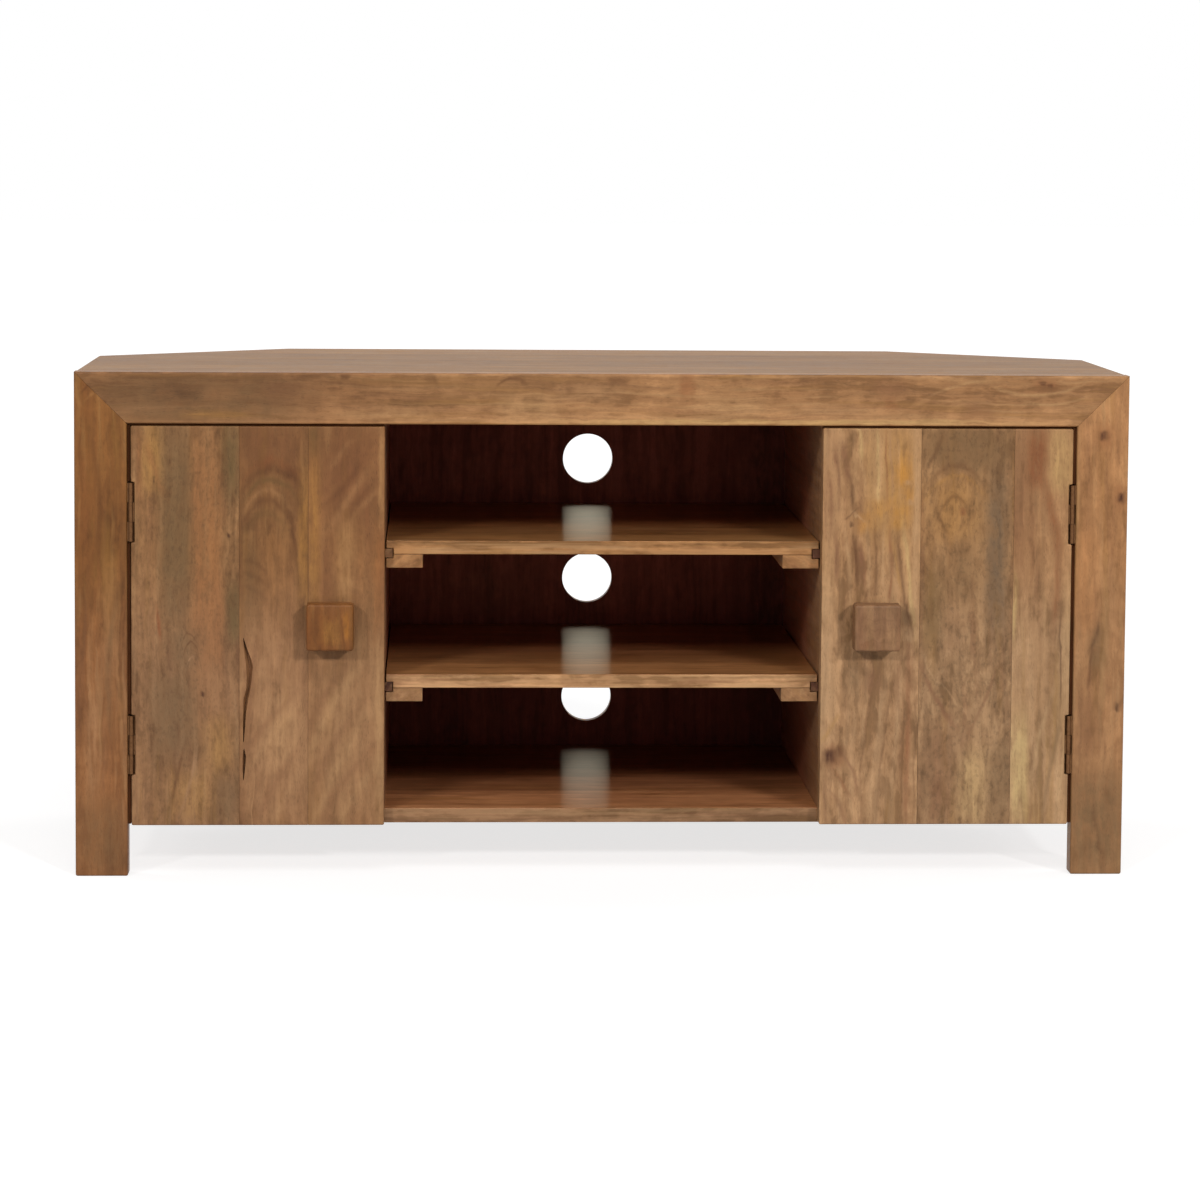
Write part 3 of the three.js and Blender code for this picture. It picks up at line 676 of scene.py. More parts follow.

# Figure of single boards, and patches of painted shade in the bay, in millimetres along the grain and
# across it
FIGURE = {
    "back_panel": [
        # Painted shade: the back panel darkened at the right end of the bay
        patch(300, 222, 320, 46, KNOT, 0.75), patch(250, -120, 60, 60, OLIVE, 0.12),
    ],
    "partition": [
        # Painted shade: a darker lower part of the partition inside the bay
        patch(20, 110, 300, 110, UMBER, 0.55, 3),
    ],
    "left_door_outer_board": [
        patch(454.2, -505.4, 41.3, 6.9, RUST, 0.56, 3), patch(458.6, -490.8, 36.9, 11.8, GOLDEN, 0.95, 3),
        streak(445.6, -488.7, 32.6, 3.3, -10.7, 2.2, ORANGE, 0.72),
        patch(385.6, -465, 105.7, 17.1, GREY, 0.95, 4), patch(366.7, -458.6, 40.9, 19.4, GREY, 0.56, 3),
        patch(334, -432.6, 161.8, 17.1, ORANGE, 0.8, 4), patch(285.3, -423, 51.5, 9.7, ORANGE, 0.48, 3),
        patch(457.3, -406.1, 38.6, 10.2, OLIVE, 0.95, 3), patch(293, -403, 35, 8.1, OLIVE, 0.95, 3),
        patch(303.6, -497.6, 109.3, 12.7, TAN, 0.56, 3),
        streak(278.7, -483.3, 18.6, 1.8, -2.1, -0.4, RUST, 0.95),
        patch(251.3, -455.5, 21.9, 18.4, GREY, 0.72),
        arch(260.1, -448.5, 10.3, 1.7, -1.1, -25.2, UMBER, 0.64),
        arch(243.6, -446.4, 9.2, 1.5, -2.2, -20.8, PALE, 0.64),
        arch(271, -450.1, 10.8, 1.5, 1.1, -20.8, UMBER, 0.48),
        patch(177.7, -467.6, 49.5, 28.1, GREY, 0.8, 3), patch(205.2, -418.7, 28.6, 18.4, TAN, 0.64, 3),
        patch(144.1, -418.3, 32.5, 15.7, GOLDEN, 0.67), patch(88.5, -448.2, 26.5, 21.7, GOLDEN, 0.64),
        streak(110.6, -463.6, 39.7, 2, 8.8, 0.2, UMBER, 0.56),
        streak(100.6, -450.4, 36.4, 2, 8.8, -2.2, PALE, 0.64), patch(124.8, -503, 69.4, 9, TAN, 0.48, 3),
        patch(83.5, -410.2, 28.2, 14.1, GREY, 0.64, 3),
        streak(412.8, -510.3, 65.3, 2.4, -0.9, 1.1, SAND, 0.64), patch(200.8, -436.1, 3, 2.4, KNOT, 0.95),
        patch(379.4, -406.7, 2.8, 2.2, KNOT, 0.95),
    ],
    "left_door_middle_board": [
        patch(471, -362.8, 24.9, 31.9, MAUVE, 0.8, 3),
        arch(453.7, -362.9, 30.8, 5.5, 4.4, -18.6, RUST, 0.48),
        arch(446, -362.9, 30.8, 5.1, 3.9, -21.2, UMBER, 0.58), patch(441.7, -341.2, 8.7, 7, UMBER, 0.48),
        arch(434.1, -363.9, 28.7, 4.4, 2.8, -21.3, OLIVE, 0.67),
        streak(371.3, -325, 67.2, 3.7, -6.6, -4.8, UMBER, 0.64),
        arch(420.9, -366.1, 25.4, 3.3, 1.2, -19.6, PALE, 0.72),
        arch(410, -366.6, 24.9, 5.1, 1.2, -19.6, UMBER, 0.54),
        arch(396.9, -367.7, 23.8, 5.5, 1.1, -19.7, OLIVE, 0.54),
        streak(381.7, -339.5, 33.8, 3.3, -6.5, -2.2, UMBER, 0.48),
        streak(356.6, -335.6, 41.5, 2.4, -4.9, -2.3, UMBER, 0.51),
        patch(387.1, -385, 10.9, 8.7, UMBER, 0.56), arch(342.3, -378.6, 13, 3.5, -7.6, -5.5, UMBER, 0.54),
        arch(327, -378.6, 13, 3.5, -7.1, -4.9, UMBER, 0.51),
        arch(311.9, -381.3, 11.4, 3.5, -6.6, -3.5, UMBER, 0.45),
        patch(317.6, -382.9, 57.4, 10.8, GREY, 0.56, 3), patch(339.5, -356.9, 57.4, 15.2, TAN, 0.56, 3),
        patch(369.6, -327.1, 76.5, 6, GOLDEN, 0.88, 3), patch(173, -355.1, 117.8, 34.3, PALE, 0.67, 4),
        patch(160.1, -351.4, 43, 18.5, SAND, 0.72),
        streak(171.1, -364.1, 34.1, 5.5, 28.3, 0.7, MAUVE, 0.42),
        streak(154.6, -359.5, 37.5, 5.1, 29.4, -0.6, SAND, 0.45),
        streak(104.9, -356.4, 45.2, 6.1, 26.1, 3.9, MAUVE, 0.38),
        streak(87.3, -347.1, 29.8, 4.6, 15.2, 1.1, SAND, 0.35),
        streak(210.7, -384.5, 49.5, 2.8, 5.4, 2.7, MAUVE, 0.48),
    ],
    "left_door_inner_board": [
        patch(478.8, -315.8, 17.4, 6.5, OLIVE, 0.8), patch(432.6, -276.2, 57.2, 35.3, MAUVE, 0.77, 3),
        patch(377.8, -315.2, 84.7, 6.1, GOLDEN, 0.8, 3),
        streak(412.4, -279.6, 36.1, 5.5, 23.8, 2.9, PALE, 0.54),
        streak(463.7, -287.2, 15.3, 4.6, 11.9, 0.6, PALE, 0.38),
        streak(405.9, -262.4, 18.6, 4.8, 15.1, 3.1, PALE, 0.42),
        streak(427.7, -283.2, 27.3, 4.6, 21.6, -2.3, UMBER, 0.38),
        streak(409.2, -269.2, 26.3, 4.4, 19.5, 3.3, UMBER, 0.32),
        streak(430.9, -296.2, 10.9, 5.5, 10.8, -2.3, MAUVE, 0.54),
        patch(345.7, -280.4, 46, 11.5, SAND, 0.8), patch(320.6, -246.1, 60.3, 6.7, ORANGE, 0.56, 3),
        patch(336.9, -301.6, 32.8, 7.6, MAUVE, 0.48), patch(144.5, -280, 89.4, 41, PALE, 0.58, 4),
        streak(175.5, -302, 54, 5.7, 27.1, 7.1, SAND, 0.48),
        streak(189.8, -308.8, 39.6, 4.8, 21.7, 6.4, MAUVE, 0.42),
        streak(119.2, -289.3, 61.8, 6.2, 29.3, 5.4, SAND, 0.45),
        streak(133.6, -299.7, 54.1, 5.1, 26.6, 5.5, MAUVE, 0.42),
        streak(108.2, -277.8, 44.2, 5.5, 32.6, 3.8, MAUVE, 0.42),
        streak(93.8, -266, 36.5, 5.1, 24.5, 1.3, SAND, 0.42),
        patch(157.7, -243.6, 102.6, 4.6, SAND, 0.64, 3), patch(437.6, -242.1, 56.7, 3.4, SAND, 0.72, 3),
    ],
    "left_front_leg": [
        patch(445.2, -561.9, 97.8, 10.4, RUST, 0.48, 3), patch(270.8, -536.7, 76.6, 10.6, TAN, 0.64, 3),
        streak(412.7, -547, 65.3, 3.3, -0.8, -7.5, UMBER, 0.48), patch(139.2, -554.4, 55, 10.6, PALE, 0.56),
        patch(42.2, -545, 42, 29.2, GREY, 0.64, 3), streak(232.5, -539.2, 71.3, 3.3, 2.4, 6.7, GREY, 0.56),
        arch(538.6, -552, 16.1, 2.8, -3.2, -16.1, UMBER, 0.56),
        arch(528.7, -545.6, 18.3, 2.2, -4.3, -16, TAN, 0.64),
    ],
    "right_front_leg": [
        patch(485.1, 547.3, 14.2, 11.3, RUST, 0.45), patch(486.2, 547.3, 5.8, 4.6, KNOT, 0.95),
        patch(415.8, 566.3, 15.4, 6.9, RUST, 0.48), patch(415.8, 567.4, 5.2, 4.2, KNOT, 0.95),
        streak(263.2, 542.5, 15.5, 2.2, 4.2, -2.2, KNOT, 0.8), patch(249.9, 542.7, 24.4, 9.3, GREY, 0.64),
        streak(227.7, 536.2, 22.2, 1.5, 1.8, 0.2, UMBER, 0.56), patch(183.3, 567.2, 4.1, 3.3, KNOT, 0.95),
        patch(161, 536.5, 33.4, 12.8, MAUVE, 0.48), patch(53.9, 547.4, 60.4, 31.1, GREY, 0.8, 4),
        patch(321.8, 530.4, 60.8, 9.9, ORANGE, 0.48, 3), patch(305.3, 557.2, 44.3, 11.9, PALE, 0.4),
        streak(42.7, 548, 40.3, 3.3, -6.3, 1.8, UMBER, 0.48),
    ],
    "right_door_inner_board": [
        patch(444.5, 246.5, 51.5, 11.6, MAUVE, 0.4, 3), patch(473.1, 242.3, 25.2, 6.3, SAND, 0.48),
        streak(458.9, 263.5, 21.9, 4, -3.6, 0.3, MAUVE, 0.95),
        streak(416.1, 273.1, 25.3, 3.3, -3.6, -1, UMBER, 0.8),
        streak(447.9, 255.9, 32.9, 2.4, -2.6, -0.6, MAUVE, 0.8),
        streak(409.4, 249.3, 38.4, 2.2, -1, -2.9, MAUVE, 0.72),
        streak(479.8, 279.9, 16.4, 2.4, -2.4, -1, YELLOW, 0.95),
        streak(444.7, 283.7, 18.6, 2, -3, -0.4, SAND, 0.8),
        patch(434.8, 314.2, 63.6, 27.8, GOLDEN, 0.95, 4), patch(454.6, 300.2, 39.5, 8.2, SAND, 0.8),
        streak(456.8, 299.1, 39.5, 1.8, -1.6, 1, YELLOW, 0.95),
        streak(453.5, 314.1, 38.4, 1.5, -2.7, 0.3, PALE, 0.72),
        streak(453.5, 309.1, 38.4, 1.3, -1.6, -0.2, RUST, 0.56),
        streak(448.1, 322.2, 32.9, 1.5, -2.1, 0.5, SAND, 0.8), patch(443.7, 329.4, 24.1, 10.8, AMBER, 0.54),
        patch(443.7, 326.7, 10.3, 8.2, AMBER, 0.58), patch(396.5, 325.1, 12.4, 9.9, AMBER, 0.64),
        patch(393.1, 285.6, 11, 8.8, AMBER, 0.54), patch(419.6, 334.7, 6.9, 5.5, AMBER, 0.56),
        patch(409.6, 309.5, 9.8, 21, AMBER, 0.35), patch(433.9, 332.3, 3.6, 2.9, SAND, 0.95),
        patch(410.8, 334.8, 3.3, 2.6, SAND, 0.95), streak(400.7, 276.8, 7.7, 2.2, -6.7, 1, SAND, 0.95),
        streak(402.9, 269.8, 5.5, 1.8, 6.5, 1.4, KNOT, 0.56), patch(393, 271.3, 2.8, 2.2, KNOT, 0.72),
        patch(395.2, 342.2, 103.4, 4.2, SAND, 0.95, 3),
        streak(357.8, 255.2, 30.8, 2.9, -0.4, -1.1, MAUVE, 0.95),
        streak(343.5, 267.8, 38.6, 2.2, -2.7, -0.3, SAND, 0.8),
        streak(347.9, 281.8, 23.1, 3.7, -1.9, 0.5, MAUVE, 0.95),
        streak(350.1, 275.7, 34.1, 2, -2.6, -0.5, UMBER, 0.8),
        streak(349, 289.7, 39.7, 2, -1.6, -0.3, SAND, 0.88),
        streak(347.9, 298.3, 43, 2, -1.1, -0.6, UMBER, 0.64),
        streak(343.5, 306, 40.8, 2, -1.1, 1.7, SAND, 0.8),
        streak(343.5, 315.9, 40.8, 2, -0.5, -2.2, RUST, 0.8),
        streak(340.3, 325.7, 41.9, 2.4, -4.4, 0.8, UMBER, 0.72),
        streak(327, 335.9, 66.2, 2.6, -7, -1.6, YELLOW, 0.95),
        streak(343.6, 321.2, 27.5, 1.8, -4.8, 0.2, GOLDEN, 0.8),
        patch(260.5, 244.3, 110.5, 7.9, SAND, 0.72, 3), patch(268.5, 335.7, 8.9, 7.2, SAND, 0.95),
        patch(289.5, 333.2, 11, 7.9, GREY, 0.72), streak(285.1, 336, 19.9, 1.8, -5.2, -1.1, UMBER, 0.8),
        patch(216.5, 295.6, 13.3, 9, MAUVE, 0.58), patch(219.8, 272.4, 14.4, 12.3, GREY, 0.32),
        streak(145.4, 286.3, 88.8, 1.8, 8.2, 9.6, UMBER, 0.35),
        streak(145.4, 308.6, 88.9, 1.7, 9.9, 3.3, UMBER, 0.38),
        streak(144.3, 300.6, 87.7, 2.4, 9.9, 4.7, SAND, 0.51),
        streak(145.4, 322, 88.9, 2.9, 6, 1.5, SAND, 0.54),
        streak(146.5, 335.8, 90, 3.3, 0.4, -0.1, RUST, 0.72),
        streak(131, 330.5, 74.5, 1.3, 0.6, -0.1, UMBER, 0.4),
        streak(136.5, 344, 80, 1.5, 0, -0.9, UMBER, 0.32), patch(136.7, 255.8, 13.3, 12.3, RUST, 0.67),
        patch(141.1, 259, 6.9, 5.5, UMBER, 0.72), patch(135.6, 249.1, 8.8, 7, KNOT, 0.95),
        streak(116.6, 276.6, 24.5, 2.9, -9.1, -6.2, MAUVE, 0.64),
        streak(104.4, 263.2, 18.9, 2.6, -11.8, 1.2, RUST, 0.48),
        streak(165.5, 249.9, 15.5, 2.9, 9.2, -0.6, GOLDEN, 0.64),
        streak(80, 261.4, 23.4, 2.4, -11.3, -3.9, MAUVE, 0.48),
    ],
    "right_door_middle_board": [
        patch(475.8, 395.5, 22.9, 50.9, GREY, 0.88, 3),
        streak(470.2, 362.8, 22, 2.8, 9.6, -1.4, UMBER, 0.48),
        arch(455.6, 385.2, 37.4, 4, 2.3, -27.1, UMBER, 0.48),
        arch(444.3, 384.7, 33.5, 2.6, 2.3, -24.6, GOLDEN, 0.64), patch(406.5, 385, 35.1, 33, GOLDEN, 0.67),
        arch(422.9, 383.4, 19.8, 3.3, 4.5, -25.2, UMBER, 0.48),
        streak(398.8, 367.6, 16.5, 2.2, -6.3, 3.2, UMBER, 0.64), patch(406.5, 394.3, 4.1, 3.3, RUST, 0.95),
        patch(361.3, 431.4, 87.1, 13.5, BLUE, 0.95, 3), patch(338.2, 395.3, 33.1, 15.9, GREY, 0.56),
        patch(274.1, 383, 31, 13.7, PALE, 0.64), patch(299.5, 361.7, 49.7, 12.8, OLIVE, 0.56),
        streak(196.5, 368.7, 39.9, 2.4, -21.6, 1.1, MAUVE, 0.8),
        streak(207.6, 374.2, 31, 1.8, -22.6, 3.2, SAND, 0.56),
        streak(194.3, 420.7, 44.4, 2, 17.6, -2.8, MAUVE, 0.56),
        streak(166.6, 434.6, 50, 1.8, 12.5, -1.3, SAND, 0.56), patch(113.2, 372.1, 59, 23, MAUVE, 0.51, 3),
        patch(95.4, 407.8, 41.2, 16.1, YELLOW, 0.67), patch(102, 438.8, 47.9, 14.1, GREY, 0.56, 3),
    ],
    "right_door_outer_board": [
        patch(465, 474.4, 34, 12.1, RUST, 0.93, 3), streak(395.7, 493.2, 46.3, 5.5, -9.1, -3.4, RUST, 0.8),
        streak(318.5, 498.5, 35.4, 3.5, 2.7, -2.4, RUST, 0.61),
        patch(462.9, 500.3, 36.2, 12.8, YELLOW, 0.8, 3), patch(424.2, 455.2, 74.8, 8.4, MAUVE, 0.45, 3),
        streak(298.5, 452.2, 37.6, 2.4, -0.1, -0.5, YELLOW, 0.95),
        streak(239.8, 503, 52.1, 1, -1.4, -0.6, KNOT, 0.95), patch(271.9, 510.8, 77.5, 7.4, SAND, 0.72, 3),
        patch(216.5, 480.2, 44.4, 21.8, TAN, 0.48), streak(144.3, 479.1, 61.2, 2.6, 11.2, 4.5, SAND, 0.67),
        streak(122, 495.1, 61.3, 2.4, 10.1, 1, GREY, 0.56),
        streak(114.2, 507.1, 57.9, 2, 6.8, -0.8, SAND, 0.64),
        patch(115.3, 460.2, 61.3, 9.3, YELLOW, 0.95, 4),
    ],
    "left_knob": [
        patch(278.5, -324.3, 25, 4.3, RUST, 0.56), streak(278.5, -313.5, 22.9, 2.9, 1.1, -0.1, UMBER, 0.45),
        streak(277.5, -279.9, 24, 3.5, -1.7, -0.7, ORANGE, 0.8),
        streak(270.9, -283.3, 17.4, 1.8, -1.6, -0.5, UMBER, 0.48),
        streak(277.5, -279.8, 13.1, 2, -1.6, 0.3, AMBER, 0.48),
        patch(270.9, -297.3, 13.1, 8.6, GOLDEN, 0.64), streak(262.2, -297.3, 8.7, 2, -1.1, 0, UMBER, 0.4),
        patch(297.1, -297.4, 6.5, 10.8, MAUVE, 0.4),
    ],
    "right_knob": [
        patch(277, 280.2, 23, 4.7, MAUVE, 0.4), arch(288, 298.7, 18.6, 1.1, 0, 1.1, UMBER, 0.22),
        arch(274.8, 298.8, 16.4, 1.1, 0, 1.1, UMBER, 0.19),
        arch(263.9, 297.9, 17.5, 1.1, 0, -1.1, UMBER, 0.19),
        arch(281.4, 298.8, 18.6, 1.1, 0, 1.1, PALE, 0.26),
        arch(268.2, 301.1, 16.4, 1.1, 0, 1.1, PALE, 0.22), patch(259.4, 287, 5.5, 6.6, RUST, 0.4),
        patch(268.2, 314.3, 12.1, 7.8, SAND, 0.35),
    ],
    "front_rail": [
        patch(-438.2, 522.9, 112.6, 26.7, GREY, 0.8, 6), patch(-464.8, 530.4, 28, 10.7, UMBER, 0.48),
        patch(-416.8, 529.5, 16.7, 9.7, TAN, 0.56), patch(-350.5, 532, 21.6, 11.9, MAUVE, 0.56),
        patch(-419.5, 506.2, 34.5, 4.8, GOLDEN, 0.8), patch(-498.2, 512.9, 26.9, 4.2, PALE, 0.4),
        patch(-186.8, 535.9, 137.7, 12.5, TAN, 0.48, 4), patch(-244.4, 507.4, 54.2, 6.3, SAND, 0.56),
        patch(-282.4, 548, 5.4, 3.8, UMBER, 0.72), patch(-187.1, 544.1, 7.6, 4.9, UMBER, 0.64),
        streak(-100.3, 546.4, 16.3, 2.2, 1.2, -9, UMBER, 0.67), patch(-81.7, 513.4, 32.7, 11.9, SAND, 0.56),
        patch(-15.4, 531.1, 33.8, 9.7, PALE, 0.56), patch(16, 544.4, 10.9, 5.4, UMBER, 0.56),
        patch(93.5, 539.2, 7.8, 13.1, RUST, 0.67), patch(141.7, 516.5, 38.3, 9.7, SAND, 0.56),
        patch(202.7, 499.8, 240.8, 3, YELLOW, 0.64, 4), patch(314.4, 536.8, 18.8, 9.8, MAUVE, 0.67),
        patch(314.7, 519.3, 7.8, 7.6, RUST, 0.48), patch(412.5, 515.3, 15.5, 9.8, MAUVE, 0.64),
        patch(485.7, 540.8, 14.4, 6.5, RUST, 0.56), patch(481.3, 541.9, 3.6, 2.9, KNOT, 0.72),
        patch(489.1, 539.7, 3.3, 2.6, KNOT, 0.64), streak(480.3, 530, 48.4, 1.8, 2.4, 10.9, SAND, 0.64),
        streak(499.2, 521, 34.1, 1.5, 3.4, 5.6, SAND, 0.64), patch(251.2, 511.4, 38.4, 8.6, PALE, 0.48),
        streak(393.4, 542, 38.3, 1.8, 10, -4.8, SAND, 0.56),
    ],
}

# Sheen of the boards in the bay: roughness, anisotropy and share of its narrow and its wide lobe
SHEEN_LOBES = ((0.193, -0.465, 0.48), (0.281, -0.684, 0.66))
SHELF_SHEEN = (1.0, 0.91, 0.69)
BOTTOM_SHEEN = (0.88, 0.8, 0.61)
PLAIN = dict(pores=0.1, relief_depth=0.00003, mottle=0.4, cloud=0.6, ribbon=0.8, streaks=0.16,
             curl=0.03, hue_streaks=0.6)
# Painted shade at the rear of the bay's boards: the factor their depth tint ends with
BAY_REAR_SHADE = (0.75, 0.5, 0.45)

# Tints along the grain: where they start and end in millimetres, and the two factors
TINTS = {
    "front_rail": (-320, -120, (0.817, 0.756, 0.679), (1.105, 1.094, 1.024)),
    "left_front_leg": (230, 370, (1.009, 0.943, 0.887), (0.903, 0.824, 0.564)),
    "right_front_leg": (230, 370, (0.936, 0.95, 0.943), (1.129, 1.112, 1.038)),
    "left_door_outer_board": (230, 370, (1.006, 1.018, 1.092), (0.964, 0.937, 0.863)),
    "left_door_middle_board": (230, 370, (1.042, 1.015, 1.004), (0.828, 0.735, 0.576)),
    "left_door_inner_board": (230, 370, (1.011, 1.006, 0.973), (0.897, 0.795, 0.638)),
    "right_door_inner_board": (230, 370, (1.061, 1.119, 1.235), (1.076, 1.082, 1.098)),
    "right_door_middle_board": (230, 370, (1.047, 1.086, 1.165), (1.015, 0.963, 0.888)),
    "right_door_outer_board": (230, 370, (1.103, 1.204, 1.297), (0.961, 0.917, 0.855)),
    "left_knob": (230, 370, (0.937, 0.839, 0.562), (0.937, 0.839, 0.562)),
    "right_knob": (230, 370, (0.882, 0.857, 0.816), (0.882, 0.857, 0.816)),
    "top_board": (-100, 100, (0.88, 0.838, 0.624), (0.88, 0.838, 0.624)),
}


# The cabinet

DIAGONAL = (213, 162)  # how far a diagonal panel runs sideways and backwards
PARTITION_OUTER_X = 255  # a partition's faces beyond this belong to its outer side
BACK_OUTER_Y = 439  # the back panel's faces beyond this are all but its inner one


def dress_both(pattern, material, arris):
    """A node and its mirror image, in one material."""
    for side_name, _ in SIDES:
        dress(pattern.format(side_name), material, arris=arris)


def dress_cabinet():
    corners = [tuple(corner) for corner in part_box("front_rail")]
    rail = wood("rail_wood", "X", "Z", WOODS["front_rail"], heart=(480, 60), seed=3.1, ring_rate=70,
                figure=FIGURE["front_rail"], wear=corners, mottle=0.6, cloud=0.8, ribbon=0.9,
                tint=TINTS["front_rail"])
    dress("front_rail", rail, arris=2.5, joined=0.15)
    for name, heart, seed in (("left_front_leg", -640, 7.7), ("right_front_leg", 500, 12.4)):
        leg = wood(name + "_wood", "Z", "X", WOODS[name], heart=(heart, 85), seed=seed,
                   figure=FIGURE[name], mottle=0.45, cloud=0.7, ribbon=0.8, tint=TINTS[name])
        dress(name, leg, arris=2.2, joined=0.15)
    top = wood("top_wood", "X", "Y", WOODS["top_board"], planks=(108.0, -186.0), heart=(0, -60),
               seed=5.0, roughness=0.5, specular=0.2, relief_depth=0.00007, tint=TINTS["top_board"])
    dress("top_board", top, arris=2.5)
    side = wood("side_wood", "Z", "Y", WOODS["side"], planks=(92.0, -210.0), heart=(0, -50), seed=9.0)
    dress_both("{}_side_panel", side, 1.5)
    for side_name, sign in SIDES:
        name = side_name + "_diagonal_panel"
        along = Vector((-sign * DIAGONAL[0], DIAGONAL[1], 0)).normalized()
        panel = wood(name + "_wood", "Z", along, WOODS["side"], planks=(90.0, 0.0), heart=(0, -50),
                     seed=15.0 + sign)
        dress(name, panel, arris=1.5)
    post = wood("rear_leg_wood", "Z", "X", WOODS["side"], heart=(0, 80), seed=21.0)
    dress_both("{}_rear_leg", post, 1.5)
    # The near factors paint light on the panel's front part and the bay's rear tint paints shade towards
    # the back; the edge factors take that painted light off its front face and leave the face somewhat
    # darker
    base = wood("bottom_wood", "X", "Y", WOODS["bottom"], planks=(110.0, -192.0), heart=(0, -60),
                seed=31.0, brushed=BOTTOM_SHEEN, edge_tint=(0.55, 0.68, 0.8),
                depth_light_and_shade=(60, 280, (1.4, 1.15, 1.05), BAY_REAR_SHADE), **PLAIN)
    dress("bottom_panel", base, arris=0.8)
    dress_back()
    # The tint over the depth paints shade: darker and redder towards the rear of the bay
    wall = wood("partition_wood", "Y", "Z", WOODS["partition"], heart=(300, 100), seed=35.0,
                figure=FIGURE["partition"], depth_light_and_shade=(60, 220, WHITE[:3], (0.95, 0.6, 0.65)))
    outer_wall = wood("partition_outer_wood", "Y", "Z", WOODS["partition"], heart=(300, 100), seed=36.0)
    for side_name, _ in SIDES:
        piece = dress(side_name + "_partition", wall, arris=0.8)
        use_where(piece, outer_wall, lambda middle: abs(middle.x) > PARTITION_OUTER_X * MM)
    batten = wood("batten_wood", "Z", "X", WOODS["inside"], heart=(0, 100), seed=41.0)
    dress_both("{}_corner_batten", batten, 0.8)
    runner = wood("runner_wood", "Y", "X", WOODS["runner"], heart=(0, 100), seed=43.0)
    dress_both("{}_top_batten", runner, 0.8)
    # A darker copy of the runner wood for the runners that sit in shade: painted shade
    painted_shade_runner = wood("dark_runner_wood", "Y", "X", WOODS["painted_shade_runner"], heart=(0, 100), seed=45.0)
    for name, strip in (("lower_left", painted_shade_runner), ("lower_right", painted_shade_runner),
                        ("upper_left", runner), ("upper_right", painted_shade_runner)):
        dress(name + "_runner", strip, arris=0.5)


def dress_back():
    """Back panel, with its outer face in another wood and countersunk screws round it."""
    # The tint up the panel paints shade: darker and redder towards its bottom
    back = wood("back_wood", "Z", "X", WOODS["back"], heart=(200, 60), seed=33.0, hues=(0, 0),
                specular=0.1, roughness=0.6, hue_streaks=0.0, ribbon=1.0, figure=FIGURE["back_panel"],
                tint=(150, 340, (0.5, 0.5, 0.6), (1.0, 1.2, 1.5)))
    panel = dress("back_panel", back, arris=0.8)
    places = [(x, z) for x in (-291.5, -249, 249, 291.5) for z in (84, 188, 292, 396, 500)]
    places += [(x, 63) for x in (-180, -60, 60, 180)]
    mesh = bmesh.new()
    for x, z in places:
        add_plug(mesh, [[(x + right, y, z + up) for right, up in circle(radius, 20)]
                        for y, radius in ((450.5, 4.5), (448.7, 3.9))])
    carve(panel, mesh)
    outer = wood("back_outer_wood", "Z", "X", WOODS["side"], planks=(99.2, -297.3), heart=(0, -50),
                 seed=37.0)
    use_where(panel, outer, lambda middle: middle.y > FRONT_Y + BACK_OUTER_Y * MM)
    bright = metal("back_screw_zinc", srgb(120, 112, 96), srgb(160, 152, 134), 0.4)
    add_screws("back_panel_screws", [(x, 448.95, z) for x, z in places], (0, 1, 0), 3.7, bright,
               "cabinet")


def dress_shelves():
    # The near factors paint light on the boards' front part and the bay's rear tint paints shade towards
    # the back; the edge factors give the front faces their own painted light in place of the tops'
    for level, seed, edge, near in (("upper", 51.0, (0.93, 1.0, 1.12), (1.2, 1.12, 1.0)),
                                    ("lower", 57.0, (1.07, 1.29, 1.64), (1.4, 1.2, 1.0))):
        body = f"{level}_shelf"
        board = wood(body + "_wood", "X", "Y", WOODS[body], planks=(104.0, -191.0), heart=(0, -60),
                     seed=seed, brushed=SHELF_SHEEN, edge_tint=edge,
                     depth_light_and_shade=(60, 280, near, BAY_REAR_SHADE), **PLAIN)
        dress(body + "_board", board, arris=1.0)
        cleat = wood(body + "_cleat_wood", "Y", "X", WOODS[body], heart=(0, 100), seed=seed + 2)
        dress_both(body + "_{}_cleat", cleat, 0.8)


# How mottled and how speckled each board of the doors is
BOARD_LOOKS = {
    "left_door_outer_board": dict(mottle=0.8, speckle=0.15, cloud=0.7, ribbon=0.9),
    "left_door_middle_board": dict(mottle=0.5, cloud=0.7, ring=0.5, ribbon=0.6),
    "left_door_inner_board": dict(mottle=0.45, cloud=0.6, ring=0.35, ribbon=0.5),
    "right_door_inner_board": dict(mottle=0.9, cloud=1.0, ribbon=1.2, ring=0.4),
    "right_door_middle_board": dict(mottle=1.1, speckle=0.2, cloud=0.8, ring=0.3, ribbon=0.9, pores=0.2),
    "right_door_outer_board": dict(mottle=0.55, cloud=0.7, ribbon=0.8),
}


def dress_doors():
    for side_name, sign in SIDES:
        for index, place in enumerate(("outer", "middle", "inner")):
            node = f"{side_name}_door_{place}_board"
            board = wood(node + "_wood", "Z", "X", WOODS[node], heart=(sign * 380, 60 + 30 * index),
                         seed=60.0 + 7 * index + sign, figure=FIGURE[node], tint=TINTS[node],
                         **BOARD_LOOKS[node])
            piece = dress(node, board, arris=1.6)
            if node == "left_door_middle_board":
                split_open(piece)
        knob = side_name + "_knob"
        block = wood(knob + "_wood", "Z", "X", WOODS[knob], heart=(sign * 340, 80), seed=90.0 + sign,
                     figure=FIGURE[knob], tint=TINTS[knob], mottle=0.7)
        dress(knob, block, arris=3.0, segments=4)


